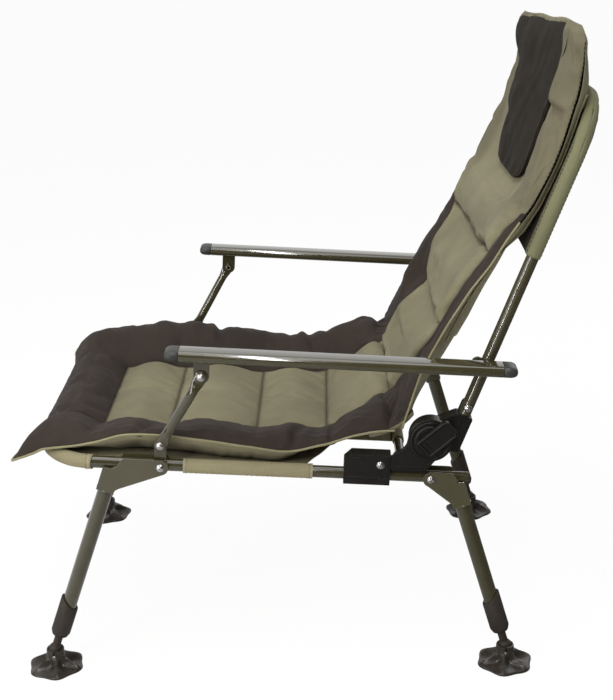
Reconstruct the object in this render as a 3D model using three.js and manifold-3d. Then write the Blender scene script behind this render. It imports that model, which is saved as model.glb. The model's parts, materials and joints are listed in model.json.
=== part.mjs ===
// Folding carp fishing chair: tubular steel frame, four adjustable legs, reclining padded back.
// Millimetres. +Z is up, the chair faces -Y, +X is the sitter's left.
import * as THREE from "three";
import { mergeVertices } from "three/addons/utils/BufferGeometryUtils.js";
import Module from "manifold-3d";

const wasm = await Module();
wasm.setup();

// Clearances
const touch = 0.3; // between pieces that rest on each other
const overrun = 4; // how far a cutting shape passes a face
const bury = 1; // how far a welded or moulded-on piece enters its neighbour
const weld = 1e-4; // vertices closer than this are one

// Seat frame, measured along the side rails from the point above the front foot
const rail = { radius: 10, wall: 1.5, reach: 290, front: 8, rear: 702.8, bend: 85 };
const seat = { height: 388.2, pitch: THREE.MathUtils.degToRad(3.43) };
const crossBar = { radius: 8, wall: 1.5, along: 597 };
const plug = { length: 14, flange: 3 };

// Legs: reach is from the pivot bolt out to the leg's axis, at the rail's underside
const legTube = { radius: 12.5, wall: 1.5 };
const legs = {
  front: { pivot: 203.8, reach: 79.6, lean: THREE.MathUtils.degToRad(16.26), top: 58, away: -1 },
  rear: { pivot: 641.9, reach: 41.6, lean: THREE.MathUtils.degToRad(20), top: 31, away: 1 },
};
const cheek = { thickness: 2, radius: 13, socket: 38, web: 20, notch: 8 };
const legBolt = { radius: 3, head: 6.5, rise: 3.5, washer: 6 };
const sleeve = { wall: 3.5, length: 66, tongue: 9, foot: 30, floor: 4, chamfer: 2.5 };
const extension = { wall: 1.2, length: 200, neck: 7, ball: 11, fitting: 16 };
const foot = { radius: 48, rim: 4, height: 34, dome: 17, collar: 15, rimAbove: 1.5, slot: 3 };
const lobes = 6;
const lobeShare = 0.09;

// Recliner hinge, measured from the seat frame: along the rail and above its axis
const hub = { along: 635.7, above: 70.4, radius: 36, armRadius: 34, bolt: 4, step: 3 };
const saddle = { start: 500, length: 75, top: 38, bottom: 13.5, inner: 14, outer: 15, chamfer: 12 };
const saddleBolt = { along: 558.8, above: 22, head: 6.5, rise: 3 };
const base = { length: 57, top: 30, lift: 10.5, inner: 11, cheekIn: 11, cheekOut: 23, skirt: 18 };
const arm = { inner: 11.5, outer: 10.7, wall: 3, top: 54, bottom: 8, tongue: 78 };
const lever = { length: 60, width: 33, thickness: 12, gap: 1, corner: 9, heel: 16, bore: 8 };
const leverTurn = THREE.MathUtils.degToRad(29);

// Backrest, measured from the hub: along the back tubes and behind the hub
const back = { radius: 10, wall: 1.5, inset: 5, behind: 38.5, start: 2, top: 580, bend: 85 };
const backLean = THREE.MathUtils.degToRad(17.57);
const strutTubeShare = 0.9;
const capRoundShare = 0.85;
const capPullShare = 0.5;
const armBolt = { along: 67, radius: 3, head: 6.5, rise: 3.5 };

// Armrest linkage, a parallelogram: hub to rear pin is equal and parallel to the strut
const rest = { width: 40, height: 18, wall: 1.5, offset: 26, front: 490, rear: 58.5, cap: 22 };
const restSlope = THREE.MathUtils.degToRad(3.7);
const rearPin = { along: 142.6, ahead: 14.8, radius: 4, plate: 4, edge: 10, plateIn: 2, drop: 24 };
const lug = { along: 202.9, above: 37.6, width: 20, plate: 4, offset: 5 };
const strut = { radius: 10, plate: 5, flat: 14, lower: 10.5, upper: 31 };
const strutBolt = { radius: 3, head: 6.5, rise: 3.5, nut: 4 };
const tab = { width: 25, plate: 4, offset: 26 };

// Soft parts
const padInset = 12;
const seatPadStart = -42;
const seatPadGap = 55.7;
const seatPad = {
  start: seatPadStart,
  length: hub.along - seatPadGap - seatPadStart,
  reach: rail.reach - padInset,
  rise: 100,
  channel: 6,
  seamShares: [0.209, 0.392, 0.633, 0.828],
  borderShares: [0.209, 0.95],
};
const backPad = {
  start: -8,
  length: 681,
  reach: rail.reach - padInset,
  rise: 100,
  channel: 8,
  seamShares: [0.241, 0.446],
  borderShares: [0.03, 0.59],
};
const pillow = { start: 408, length: 252, reach: 150, rise: 100, lift: 0.5 };
const seatCloth = { reach: 268, thick: 2, lift: 1.8, sleeve: 1.6, sleeveStart: 240, sleeveLength: 210 };
const backCloth = { start: 140, end: 588, thick: 1.6, lift: 1.3 };
const hood = { start: 330, wall: 1.6 };

const tubeSides = 12;
const bendSteps = 5;
const roundSides = 10;
const boltSides = 8;
const ovalSteps = 5;

// The radius of a faceted bore that clears a round piece, however its facets are turned
const clear = (radius, sides = tubeSides) => (radius + touch) / Math.cos(Math.PI / sides);
const hole = (radius) => clear(radius, boltSides);

// Materials
const paint = new THREE.MeshStandardMaterial({ color: 0x34392a, roughness: 0.35, metalness: 0.2 });
const steel = new THREE.MeshStandardMaterial({ color: 0xd8d8d4, roughness: 0.25, metalness: 0.9 });
const plastic = new THREE.MeshStandardMaterial({ color: 0x1c1b1b, roughness: 0.55, metalness: 0 });
const khaki = new THREE.MeshStandardMaterial({ color: 0x6b6a4c, roughness: 0.9, metalness: 0 });
const dark = new THREE.MeshStandardMaterial({ color: 0x352d2b, roughness: 0.9, metalness: 0 });

// Solids and booleans
function solidOf(geometry) {
  const bare = geometry.index ? geometry.toNonIndexed() : geometry.clone();
  bare.deleteAttribute("normal");
  bare.deleteAttribute("uv");
  const merged = mergeVertices(bare, weld);
  const build = (triVerts) =>
    new wasm.Manifold(
      new wasm.Mesh({
        numProp: 3,
        vertProperties: merged.attributes.position.array,
        triVerts,
      }),
    );
  const triVerts = new Uint32Array(merged.index.array);
  const made = build(triVerts);
  return made.volume() < 0 ? build(triVerts.reverse()) : made;
}

function geometryOf(solid) {
  const mesh = solid.getMesh();
  return new THREE.BufferGeometry()
    .setAttribute("position", new THREE.BufferAttribute(mesh.vertProperties, 3))
    .setIndex(new THREE.BufferAttribute(mesh.triVerts, 1));
}

const join = (...shapes) => geometryOf(shapes.map(solidOf).reduce((a, b) => a.add(b)));
const cut = (shape, ...tools) =>
  geometryOf(tools.map(solidOf).reduce((a, b) => a.subtract(b), solidOf(shape)));
const tidy = (shape) => geometryOf(solidOf(shape));

// A centre line through corners, each one rounded to a bend radius
class Route extends THREE.Curve {
  constructor(corners, bend) {
    super();
    this.knots = [corners[0].clone()];
    this.headings = [corners[1].clone().sub(corners[0]).normalize()];
    for (let i = 1; i < corners.length - 1; i++) {
      const into = corners[i].clone().sub(corners[i - 1]).normalize();
      const out = corners[i + 1].clone().sub(corners[i]).normalize();
      const turn = into.angleTo(out);
      const setback = bend * Math.tan(turn / 2);
      const start = corners[i].clone().addScaledVector(into, -setback);
      const inward = out.clone().addScaledVector(into, -into.dot(out)).normalize();
      for (let k = 0; k <= bendSteps; k++) {
        const angle = (turn * k) / bendSteps;
        this.knots.push(
          start
            .clone()
            .addScaledVector(into, bend * Math.sin(angle))
            .addScaledVector(inward, bend * (1 - Math.cos(angle))),
        );
        this.headings.push(
          into.clone().multiplyScalar(Math.cos(angle)).addScaledVector(inward, Math.sin(angle)),
        );
      }
    }
    this.knots.push(corners.at(-1).clone());
    this.headings.push(this.headings.at(-1).clone());
  }
  getPointAt(share, target = new THREE.Vector3()) {
    return target.copy(this.knots[Math.round(share * (this.knots.length - 1))]);
  }
  getTangentAt(share, target = new THREE.Vector3()) {
    return target.copy(this.headings[Math.round(share * (this.headings.length - 1))]);
  }
}

function ringShape(outer, inner) {
  const turn = (radius) =>
    Array.from({ length: tubeSides }, (_, i) => {
      const angle = ((i + 1 / 2) * 2 * Math.PI) / tubeSides;
      return new THREE.Vector2(radius * Math.cos(angle), radius * Math.sin(angle));
    });
  const shape = new THREE.Shape(turn(outer));
  if (inner) shape.holes.push(new THREE.Path(turn(inner)));
  return shape;
}

// A round tube along a bent route; an inner radius of zero makes it solid
function tubeAlong(corners, bend, outer, inner) {
  const route = new Route(corners, bend);
  return new THREE.ExtrudeGeometry(ringShape(outer, inner), {
    steps: route.knots.length - 1,
    extrudePath: route,
    bevelEnabled: false,
  });
}

// A shape drawn in Y and Z, made solid from one X to another
function plate(shape, from, to) {
  const turned = new THREE.Matrix4().makeBasis(
    new THREE.Vector3(0, 1, 0),
    new THREE.Vector3(0, 0, 1),
    new THREE.Vector3(1, 0, 0),
  );
  return new THREE.ExtrudeGeometry(shape, {
    depth: to - from,
    bevelEnabled: false,
    curveSegments: bendSteps,
  })
    .applyMatrix4(turned)
    .translate(from, 0, 0);
}

const outline = (...points) => new THREE.Shape(points.map(([y, z]) => new THREE.Vector2(y, z)));

// Points round part of a circle, in degrees
function arc(y, z, radius, from, to, steps = bendSteps) {
  return Array.from({ length: steps + 1 }, (_, i) => {
    const angle = THREE.MathUtils.degToRad(from + ((to - from) * i) / steps);
    return [y + radius * Math.cos(angle), z + radius * Math.sin(angle)];
  });
}

// A round bar along X
function pin(y, z, radius, from, to, sides = boltSides) {
  return new THREE.CylinderGeometry(radius, radius, to - from, sides)
    .rotateZ(Math.PI / 2)
    .translate((from + to) / 2, y, z);
}

// A turned shape about Z, from pairs of radius and height
function turned(profile, sides = boltSides) {
  return new THREE.LatheGeometry(
    profile.map(([radius, height]) => new THREE.Vector2(radius, height)),
    sides,
  ).rotateX(Math.PI / 2);
}

// A bolt along X: domed head outside, shank, nut inside
function bolt(spec, y, z, nutEnd, nutFace, headFace) {
  const domeShare = 0.6;
  return turned([
    [0, nutEnd],
    [spec.head * domeShare, nutEnd],
    [spec.head * domeShare, nutFace],
    [spec.radius, nutFace],
    [spec.radius, headFace],
    [spec.head, headFace],
    [spec.head, headFace + spec.rise / 3],
    [spec.head * domeShare, headFace + spec.rise],
    [0, headFace + spec.rise],
  ])
    .rotateY(Math.PI / 2)
    .translate(0, y, z);
}

// A closed skin over rings that all have the same number of points
function loft(rings) {
  const around = rings[0].length;
  const points = rings.flat();
  const faces = [];
  for (let i = 0; i + 1 < rings.length; i++) {
    for (let k = 0; k < around; k++) {
      const a = i * around + k;
      const b = i * around + ((k + 1) % around);
      faces.push(a, b, b + around, a, b + around, a + around);
    }
  }
  for (const [start, flip] of [[0, true], [(rings.length - 1) * around, false]]) {
    const middle = new THREE.Vector3();
    for (let k = 0; k < around; k++) middle.addScaledVector(points[start + k], 1 / around);
    points.push(middle);
    for (let k = 0; k < around; k++) {
      const a = start + k;
      const b = start + ((k + 1) % around);
      faces.push(points.length - 1, ...(flip ? [b, a] : [a, b]));
    }
  }
  return new THREE.BufferGeometry().setFromPoints(points).setIndex(faces);
}

function piece(name, geometry, material, group) {
  const mesh = new THREE.Mesh(tidy(geometry), material);
  mesh.name = name;
  group.add(mesh);
  return mesh;
}

// Groups: the seat frame carries everything, and each side is drawn at +X
const chair = new THREE.Group();
const seatFrame = new THREE.Group();
seatFrame.position.set(0, 0, seat.height);
seatFrame.rotation.x = -seat.pitch;
chair.add(seatFrame);

const backFrame = new THREE.Group();
backFrame.position.set(0, hub.along, hub.above);
backFrame.rotation.x = -backLean;
seatFrame.add(backFrame);

const sides = { left: 1, right: -1 };
function sideGroup(parent, name) {
  const group = new THREE.Group();
  group.scale.x = sides[name];
  parent.add(group);
  return group;
}
chair.updateMatrixWorld(true);

// Seat frame
function railTube() {
  const rear = (x) => new THREE.Vector3(x, rail.rear, 0);
  const front = (x) => new THREE.Vector3(x, rail.front, 0);
  const corners = [rear(-rail.reach), front(-rail.reach), front(rail.reach), rear(rail.reach)];
  return tubeAlong(corners, rail.bend, rail.radius, rail.radius - rail.wall);
}

function lugPlate(side) {
  const from = rail.reach + lug.offset - lug.plate / 2;
  const half = lug.width / 2;
  const shape = outline(
    [lug.along - half, rail.radius - 2 * bury],
    [lug.along + half, rail.radius - 2 * bury],
    ...arc(lug.along, lug.above, half, 0, 180),
  );
  const made = cut(
    plate(shape, from, from + lug.plate),
    pin(lug.along, lug.above, hole(strutBolt.radius), from - overrun, from + lug.plate + overrun),
  );
  return side > 0 ? made : solidMirror(made);
}

function solidMirror(geometry) {
  return geometryOf(solidOf(geometry.clone().scale(-1, 1, 1)));
}

function seatRails() {
  const holes = [];
  for (const side of Object.values(sides)) {
    const x = side * rail.reach;
    const reach = rail.radius + overrun;
    for (const leg of Object.values(legs)) {
      holes.push(pin(leg.pivot, 0, hole(legBolt.radius), x - reach, x + reach));
    }
  }
  return cut(join(railTube(), lugPlate(1), lugPlate(-1)), ...holes);
}

piece("seat_frame", seatRails(), paint, seatFrame);

function rearCrossBar() {
  const end = rail.reach - rail.radius - touch;
  const bar = pin(crossBar.along, 0, crossBar.radius, -end, end, tubeSides);
  const inner = crossBar.radius - crossBar.wall;
  return cut(bar, pin(crossBar.along, 0, inner, -end - overrun, end + overrun, tubeSides));
}
piece("rear_cross_bar", rearCrossBar(), paint, seatFrame);

function railPlug() {
  const inner = rail.radius - rail.wall - touch;
  const face = rail.rear + touch;
  return turned(
    [
      [0, face - plug.length],
      [inner, face - plug.length],
      [inner, face],
      [rail.radius, face],
      [rail.radius, face + plug.flange / 2],
      [rail.radius - plug.flange / 2, face + plug.flange],
      [0, face + plug.flange],
    ],
    tubeSides,
  )
    .rotateX(-Math.PI / 2)
    .translate(rail.reach, 0, 0);
}

// Degrees round the hub's rim, and round the hollow sweep in front of it
const hubTurn = { low: -75, front: 180 };
const sweepTurn = { top: -20, low: -78 };

// Hinge base: a block on the rail with an outer cheek that sweeps up to the hub
function hingeBase() {
  const start = saddle.start + saddle.length + touch;
  const end = start + base.length;
  const block = outline(
    [start, base.lift],
    [end, base.lift],
    [end, base.top - hub.step],
    [end - hub.step, base.top],
    [start, base.top],
  );
  const cheekShape = outline(
    [start, base.skirt],
    [end, base.skirt],
    ...arc(hub.along, hub.above, hub.radius, hubTurn.low, hubTurn.front, 3 * bendSteps),
    ...arc(start - touch, hub.above, hub.along - hub.radius - start + touch, sweepTurn.top, sweepTurn.low),
    [start, saddle.top],
  );
  const x = rail.reach;
  const solid = join(
    plate(block, x - base.inner, x + base.cheekIn + bury),
    plate(cheekShape, x + base.cheekIn, x + base.cheekOut - hub.step),
    pin(hub.along, hub.above, hub.radius - hub.step, x + base.cheekIn, x + base.cheekOut, 3 * roundSides),
  );
  return cut(
    solid,
    pin(hub.along, hub.above, hole(hub.bolt), x - overrun, x + base.cheekOut + overrun),
  );
}

function saddleClip() {
  const end = saddle.start + saddle.length;
  const shape = outline(
    [saddle.start, -saddle.bottom],
    [end, -saddle.bottom],
    [end, saddle.top],
    [saddle.start + saddle.chamfer, saddle.top],
    [saddle.start, saddle.top - saddle.chamfer],
  );
  const x = rail.reach;
  const channel = new THREE.CylinderGeometry(
    clear(rail.radius),
    clear(rail.radius),
    saddle.length + 2 * overrun,
    tubeSides,
  ).translate(x, saddle.start + saddle.length / 2, 0);
  return join(
    cut(plate(shape, x - saddle.inner, x + saddle.outer), channel),
    turnedHead(saddleBolt, saddleBolt.along, saddleBolt.above, x + saddle.outer),
  );
}

// Only a bolt's head, standing on a face
function turnedHead(spec, y, z, face) {
  return turned([
    [0, face - bury],
    [spec.head, face - bury],
    [spec.head, face + spec.rise / 3],
    [spec.head / 2, face + spec.rise],
    [0, face + spec.rise],
  ])
    .rotateY(Math.PI / 2)
    .translate(0, y, z);
}

// Hinge arm, drawn from the hub: behind is Y, along the back tube is Z
function hingeArm() {
  const tubeX = rail.reach - back.inset;
  const outer = back.radius + touch + arm.wall;
  const x = rail.reach;
  const disc = pin(0, 0, hub.armRadius, x - arm.inner, x + arm.outer, 2 * roundSides);
  const bridge = outline(
    [0, -hub.armRadius / 2],
    [back.behind + outer, -arm.bottom],
    [back.behind + outer, arm.top],
    [back.behind - outer, arm.top],
    [0, hub.armRadius - hub.step],
  );
  const tongue = outline(
    [back.behind - back.radius, arm.top - arm.wall],
    [back.behind + back.radius, arm.top - arm.wall],
    ...arc(back.behind, arm.tongue - back.radius, back.radius, 0, 180),
  );
  const inside = tubeX - outer;
  const bore = new THREE.CylinderGeometry(
    clear(back.radius),
    clear(back.radius),
    back.top,
    tubeSides,
  )
    .rotateX(Math.PI / 2)
    .translate(tubeX, back.behind, back.start - touch + back.top / 2);
  const boltHole = pin(back.behind, armBolt.along, hole(armBolt.radius), inside - overrun, x + outer);
  return cut(
    join(disc, plate(bridge, inside, tubeX + outer), plate(tongue, inside, tubeX)),
    bore,
    boltHole,
    pin(0, 0, hole(hub.bolt), inside - overrun, x + arm.outer + overrun),
  );
}

function armBoltShape() {
  const tubeX = rail.reach - back.inset;
  const inside = tubeX - back.radius - touch - arm.wall;
  return bolt(
    armBolt,
    back.behind,
    armBolt.along,
    inside - touch - armBolt.rise,
    inside - touch,
    tubeX + back.radius + touch,
  );
}

// Release lever: a rounded paddle that turns on the hub
function releaseLever() {
  const x = rail.reach + base.cheekOut + lever.gap;
  const half = lever.width / 2;
  const shape = outline(
    [-half, -lever.heel],
    [half, -lever.heel],
    ...arc(half - lever.corner, lever.length - lever.heel - lever.corner, lever.corner, 0, 90, 3),
    ...arc(lever.corner - half, lever.length - lever.heel - lever.corner, lever.corner, 90, 180, 3),
  );
  const paddle = plate(shape, x, x + lever.thickness);
  const slot = plate(
    outline(
      [-half / 2, lever.corner],
      [half / 2, lever.corner],
      [half / 2, lever.corner + hub.step],
      [-half / 2, lever.corner + hub.step],
    ),
    x + lever.thickness - hub.step,
    x + lever.thickness + overrun,
  );
  return cut(paddle, slot, pin(0, 0, hole(hub.bolt), x - overrun, x + lever.bore)).rotateX(-leverTurn);
}

// The hub bolt: a head inside the chair, and a shank that ends in the lever's blind bore
function hubBolt() {
  const face = rail.reach - back.inset - back.radius - 2 * touch - arm.wall;
  return turned([
    [0, face - hub.step],
    [2 * hub.bolt, face - hub.step],
    [2 * hub.bolt, face],
    [hub.bolt, face],
    [hub.bolt, rail.reach + base.cheekOut + lever.gap + lever.bore - 2 * touch],
    [0, rail.reach + base.cheekOut + lever.gap + lever.bore - 2 * touch],
  ])
    .rotateY(Math.PI / 2)
    .translate(0, hub.along, hub.above);
}

for (const name of Object.keys(sides)) {
  const group = sideGroup(seatFrame, name);
  piece(name + "_rail_plug", railPlug(), plastic, group);
  piece(name + "_saddle_clip", saddleClip(), plastic, group);
  piece(name + "_hinge_base", hingeBase(), plastic, group);
  piece(name + "_hub_bolt", hubBolt(), steel, group);
  const behind = sideGroup(backFrame, name);
  piece(name + "_hinge_arm", hingeArm(), plastic, behind);
  piece(name + "_arm_bolt", armBoltShape(), steel, behind);
  piece(name + "_release_lever", releaseLever(), plastic, behind);
}

// Backrest frame: an inverted U with a welded plate and pin for each armrest
function backTube() {
  const x = rail.reach - back.inset;
  const foot = (at) => new THREE.Vector3(at, back.behind, back.start);
  const head = (at) => new THREE.Vector3(at, back.behind, back.top);
  return tubeAlong([foot(-x), head(-x), head(x), foot(x)], back.bend, back.radius, back.radius - back.wall);
}

function pinPlate() {
  const y = back.behind - rearPin.ahead;
  const x = rail.reach - rearPin.plateIn;
  const shape = outline(
    [back.behind, rearPin.along - rearPin.drop - rearPin.edge],
    [back.behind, rearPin.along + rearPin.edge],
    ...arc(y, rearPin.along, rearPin.edge, 90, 225),
    [back.behind - rearPin.edge, rearPin.along - rearPin.drop],
  );
  const inside = rail.reach + rest.offset - rest.width / 2 + rest.wall + rearPin.plate;
  return join(
    plate(shape, x, x + rearPin.plate),
    pin(y, rearPin.along, rearPin.radius, x + bury, inside),
  );
}

function backRails() {
  const x = rail.reach - back.inset;
  const reach = back.radius + overrun;
  const holes = Object.values(sides).map((side) =>
    pin(back.behind, armBolt.along, hole(armBolt.radius), side * x - reach, side * x + reach),
  );
  return cut(join(backTube(), pinPlate(), solidMirror(pinPlate())), ...holes);
}
piece("backrest_frame", cut(backRails(), backBore()), paint, backFrame);

// The tube's bore again, so that the welded plates don't close it
function backBore() {
  const x = rail.reach - back.inset;
  const inner = back.radius - back.wall;
  const foot = (at) => new THREE.Vector3(at, back.behind, back.start - overrun);
  const head = (at) => new THREE.Vector3(at, back.behind, back.top);
  return tubeAlong([foot(-x), head(-x), head(x), foot(x)], back.bend, inner, 0);
}

// Armrests: each one sits on its strut, and on the backrest's pin at the rear
const hubWorld = backFrame.localToWorld(new THREE.Vector3());
const pinWorld = backFrame.localToWorld(
  new THREE.Vector3(0, back.behind - rearPin.ahead, rearPin.along),
);
const lowWorld = seatFrame.localToWorld(new THREE.Vector3(0, lug.along, lug.above));
const link = pinWorld.clone().sub(hubWorld);
const highWorld = lowWorld.clone().add(link);

const armrest = new THREE.Group();
armrest.position.copy(pinWorld);
armrest.rotation.x = -restSlope;
chair.add(armrest);
const strutFrame = new THREE.Group();
strutFrame.position.copy(lowWorld);
strutFrame.rotation.x = -Math.atan2(link.y, link.z);
chair.add(strutFrame);
chair.updateMatrixWorld(true);
const tabPoint = armrest.worldToLocal(highWorld.clone());

function ovalShape(width, height, wall) {
  const make = (inset) => {
    const radius = height / 2 - inset;
    const flat = (width - height) / 2;
    return [...arc(flat, 0, radius, -90, 90, ovalSteps), ...arc(-flat, 0, radius, 90, 270, ovalSteps)].map(
      ([x, z]) => new THREE.Vector2(x, z),
    );
  };
  const shape = new THREE.Shape(make(0));
  if (wall) shape.holes.push(new THREE.Path(make(wall)));
  return shape;
}

// A flat-oval bar along Y, from one place to another
function ovalBar(width, height, wall, from, to) {
  return new THREE.ExtrudeGeometry(ovalShape(width, height, wall), {
    depth: to - from,
    bevelEnabled: false,
  })
    .rotateX(Math.PI / 2)
    .translate(rail.reach + rest.offset, to, 0);
}

function armrestTube() {
  const tube = ovalBar(rest.width, rest.height, rest.wall, rest.cap - rest.front, rest.rear - rest.cap);
  const from = rail.reach + tab.offset - tab.plate / 2;
  const half = tab.width / 2;
  const top = rest.wall / 2 - rest.height / 2;
  const shape = outline(
    [tabPoint.y + half, top],
    [tabPoint.y - half, top],
    ...arc(tabPoint.y, tabPoint.z, half, 180, 360, 2 * bendSteps),
  );
  const tabHole = pin(
    tabPoint.y,
    tabPoint.z,
    hole(strutBolt.radius),
    from - overrun,
    from + tab.plate + overrun,
  );
  const inside = rail.reach + rest.offset - rest.width / 2;
  const pinHole = pin(0, 0, hole(rearPin.radius), inside - overrun, inside + rest.wall + overrun);
  return cut(join(tube, plate(shape, from, from + tab.plate)), tabHole, pinHole);
}

function armrestCap(front) {
  const end = front ? -rest.front : rest.rear;
  const mouth = front ? end + rest.cap - touch : end - rest.cap + touch;
  const outward = front ? -1 : 1;
  const inner = rest.wall + touch;
  const stub = ovalBar(
    rest.width - 2 * inner,
    rest.height - 2 * inner,
    0,
    ...[mouth - outward * rest.cap / 2, mouth + outward * bury].sort((a, b) => a - b),
  );
  const dome = [];
  const steps = 3;
  for (let i = 0; i <= steps; i++) {
    const share = i / steps;
    const shrink = 1 - (1 - Math.sqrt(1 - share * share * capRoundShare)) * capPullShare;
    dome.push(
      ovalShape(rest.width * shrink, rest.height * shrink, 0)
        .getPoints()
        .map((p) => new THREE.Vector3(p.x, mouth + outward * (rest.cap - touch) * share, p.y)),
    );
  }
  const body = loft(dome).translate(rail.reach + rest.offset, 0, 0);
  return join(body, stub);
}

// Strut: a short tube with a jog, flattened at both ends
function strutShape() {
  const length = link.length();
  const end = (x, z) =>
    plate(
      outline(...arc(0, z, strut.radius, z ? 0 : 180, z ? 180 : 360), ...flatEnd(z)),
      rail.reach + x - strut.plate / 2,
      rail.reach + x + strut.plate / 2,
    );
  const flatEnd = (z) =>
    z
      ? [[-strut.radius, length - 2 * strut.flat], [strut.radius, length - 2 * strut.flat]]
      : [[strut.radius, 2 * strut.flat], [-strut.radius, 2 * strut.flat]];
  const at = (x, z) => new THREE.Vector3(rail.reach + x, 0, z);
  const tube = tubeAlong(
    [
      at(strut.lower, strut.flat),
      at(strut.lower, 2.5 * strut.flat),
      at(strut.upper, length - 2.5 * strut.flat),
      at(strut.upper, length - strut.flat),
    ],
    strut.flat,
    strut.radius * strutTubeShare,
    0,
  );
  const holes = [[strut.lower, 0], [strut.upper, length]].map(([x, z]) =>
    pin(0, z, hole(strutBolt.radius), rail.reach + x - overrun, rail.reach + x + overrun),
  );
  return cut(join(end(strut.lower, 0), end(strut.upper, length), tube), ...holes);
}

function lowerStrutBolt() {
  const plateIn = rail.reach + lug.offset - lug.plate / 2;
  return bolt(
    strutBolt,
    0,
    0,
    plateIn - touch - strutBolt.nut,
    plateIn - touch,
    rail.reach + strut.lower + strut.plate / 2 + touch,
  );
}

function upperStrutBolt() {
  const plateIn = rail.reach + tab.offset - tab.plate / 2;
  return bolt(
    strutBolt,
    0,
    link.length(),
    plateIn - touch - strutBolt.nut,
    plateIn - touch,
    rail.reach + strut.upper + strut.plate / 2 + touch,
  );
}

for (const name of Object.keys(sides)) {
  const top = sideGroup(armrest, name);
  piece(name + "_armrest", armrestTube(), paint, top);
  piece(name + "_armrest_front_cap", armrestCap(true), plastic, top);
  piece(name + "_armrest_rear_cap", armrestCap(false), plastic, top);
  const prop = sideGroup(strutFrame, name);
  piece(name + "_strut", strutShape(), paint, prop);
  piece(name + "_strut_lower_bolt", lowerStrutBolt(), steel, prop);
  piece(name + "_strut_upper_bolt", upperStrutBolt(), steel, prop);
}

// Legs, drawn from the pivot bolt: Y runs away from it, Z is up
const lowerTurn = 250; // degrees round the cheek's end, where its lower edge leaves it

function legBracket(leg) {
  const inner = legTube.radius + touch;
  const outer = inner + cheek.thickness;
  const along = new THREE.Vector2(Math.sin(leg.lean), -Math.cos(leg.lean));
  const across = new THREE.Vector2(Math.cos(leg.lean), Math.sin(leg.lean));
  const at = (down, out) => [
    leg.reach + along.x * down + across.x * out,
    -rail.radius + along.y * down + across.y * out,
  ];
  const low = at(cheek.socket - cheek.notch, -outer);
  const wall = outline(
    ...arc(0, 0, cheek.radius, 90, lowerTurn, 2 * bendSteps),
    low,
    at(cheek.socket, -outer),
    at(cheek.socket, outer),
    at(-cheek.notch / 2, outer),
    [leg.reach, -cheek.notch / 2],
    [leg.top + cheek.radius, 0],
    [leg.top, cheek.radius],
  );
  const [[edgeY, edgeZ]] = arc(0, 0, cheek.radius, lowerTurn, lowerTurn);
  const edgeAt = (y) => [y, edgeZ + ((low[1] - edgeZ) * (y - edgeY)) / (low[0] - edgeY)];
  const lift = cheek.thickness;
  const web = outline(
    edgeAt(cheek.web),
    low,
    [low[0] + bury, low[1] + lift],
    [cheek.web, edgeAt(cheek.web)[1] + lift],
  );
  const bore = pin(0, 0, hole(legBolt.radius), -outer - overrun, outer + overrun);
  return cut(
    join(
      plate(wall, inner, outer),
      plate(wall, -outer, -inner),
      plate(web, -outer + bury, outer - bury),
      legSocket(leg, inner, outer),
    ),
    bore,
  );
}

// The part of the bracket that wraps round the leg tube
function legSocket(leg, inner, outer) {
  const ring = tubeAlong(
    [new THREE.Vector3(0, 0, 2 * legTube.radius), new THREE.Vector3(0, 0, -cheek.socket)],
    0,
    outer,
    inner,
  );
  return cut(ring, aboveRail(leg)).rotateX(leg.lean).translate(0, leg.reach, -rail.radius);
}

// Everything above the rail's underside, seen along a leg
function aboveRail(leg) {
  const reach = 2 * legTube.radius;
  const shape = outline([-reach, 0], [reach, 0], [reach, 2 * reach], [-reach, 2 * reach]);
  return plate(shape, -reach, reach).rotateX(-leg.lean).translate(0, 0, -2 * touch);
}

function kneeHeight(leg) {
  const knee = new THREE.Vector3(0, leg.pivot + leg.away * leg.reach, -rail.radius);
  return seatFrame.localToWorld(knee).z;
}

// Distance from the leg's top end to its ball, along the leg
function legLength(leg) {
  const upright = leg.away > 0 ? leg.lean - seat.pitch : leg.lean + seat.pitch;
  return (kneeHeight(leg) - foot.height) / Math.cos(upright);
}

function legTubeShape(leg, length) {
  const end = length - sleeve.foot - sleeve.floor;
  const inner = legTube.radius - legTube.wall;
  const tube = tubeAlong(
    [new THREE.Vector3(0, 0, 2 * legTube.radius), new THREE.Vector3(0, 0, -end)],
    0,
    legTube.radius,
    inner,
  );
  return cut(tube, aboveRail(leg));
}

function sleeveShape(length) {
  const inner = legTube.radius + touch;
  const outer = inner + sleeve.wall;
  const low = -(length - sleeve.foot);
  const high = low + sleeve.length;
  const throat = legTube.radius - legTube.wall;
  const body = turned(
    [
      [throat, low],
      [outer - sleeve.chamfer, low],
      [outer, low + sleeve.chamfer],
      [outer, high + sleeve.tongue],
      [inner, high + sleeve.tongue],
      [inner, low + sleeve.floor - touch],
      [throat, low + sleeve.floor - touch],
      [throat, low],
    ],
    tubeSides,
  ).rotateZ(Math.PI / tubeSides);
  const slope = outline(
    [-outer - overrun, high - sleeve.tongue],
    [outer + overrun, high + sleeve.tongue],
    [outer + overrun, high + 3 * sleeve.tongue],
    [-outer - overrun, high + 3 * sleeve.tongue],
  );
  return cut(body, plate(slope, -outer - overrun, outer + overrun));
}

function extensionShape(length) {
  const outer = legTube.radius - legTube.wall - touch;
  const inner = outer - extension.wall;
  const shoulder = -(length - sleeve.foot - touch);
  const ball = -length;
  const angle = Math.asin(extension.neck / extension.ball);
  const round = arc(0, ball, extension.ball, -90, 90 - THREE.MathUtils.radToDeg(angle), bendSteps);
  return turned(
    [
      ...round.map(([r, z], i) => (i ? [r, z] : [0, z])),
      [extension.neck, shoulder],
      [outer, shoulder],
      [outer, shoulder + extension.length],
      [inner, shoulder + extension.length],
      [inner, shoulder + extension.fitting],
      [0, shoulder + extension.fitting],
    ],
    tubeSides,
  ).rotateZ(Math.PI / tubeSides);
}

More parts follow.
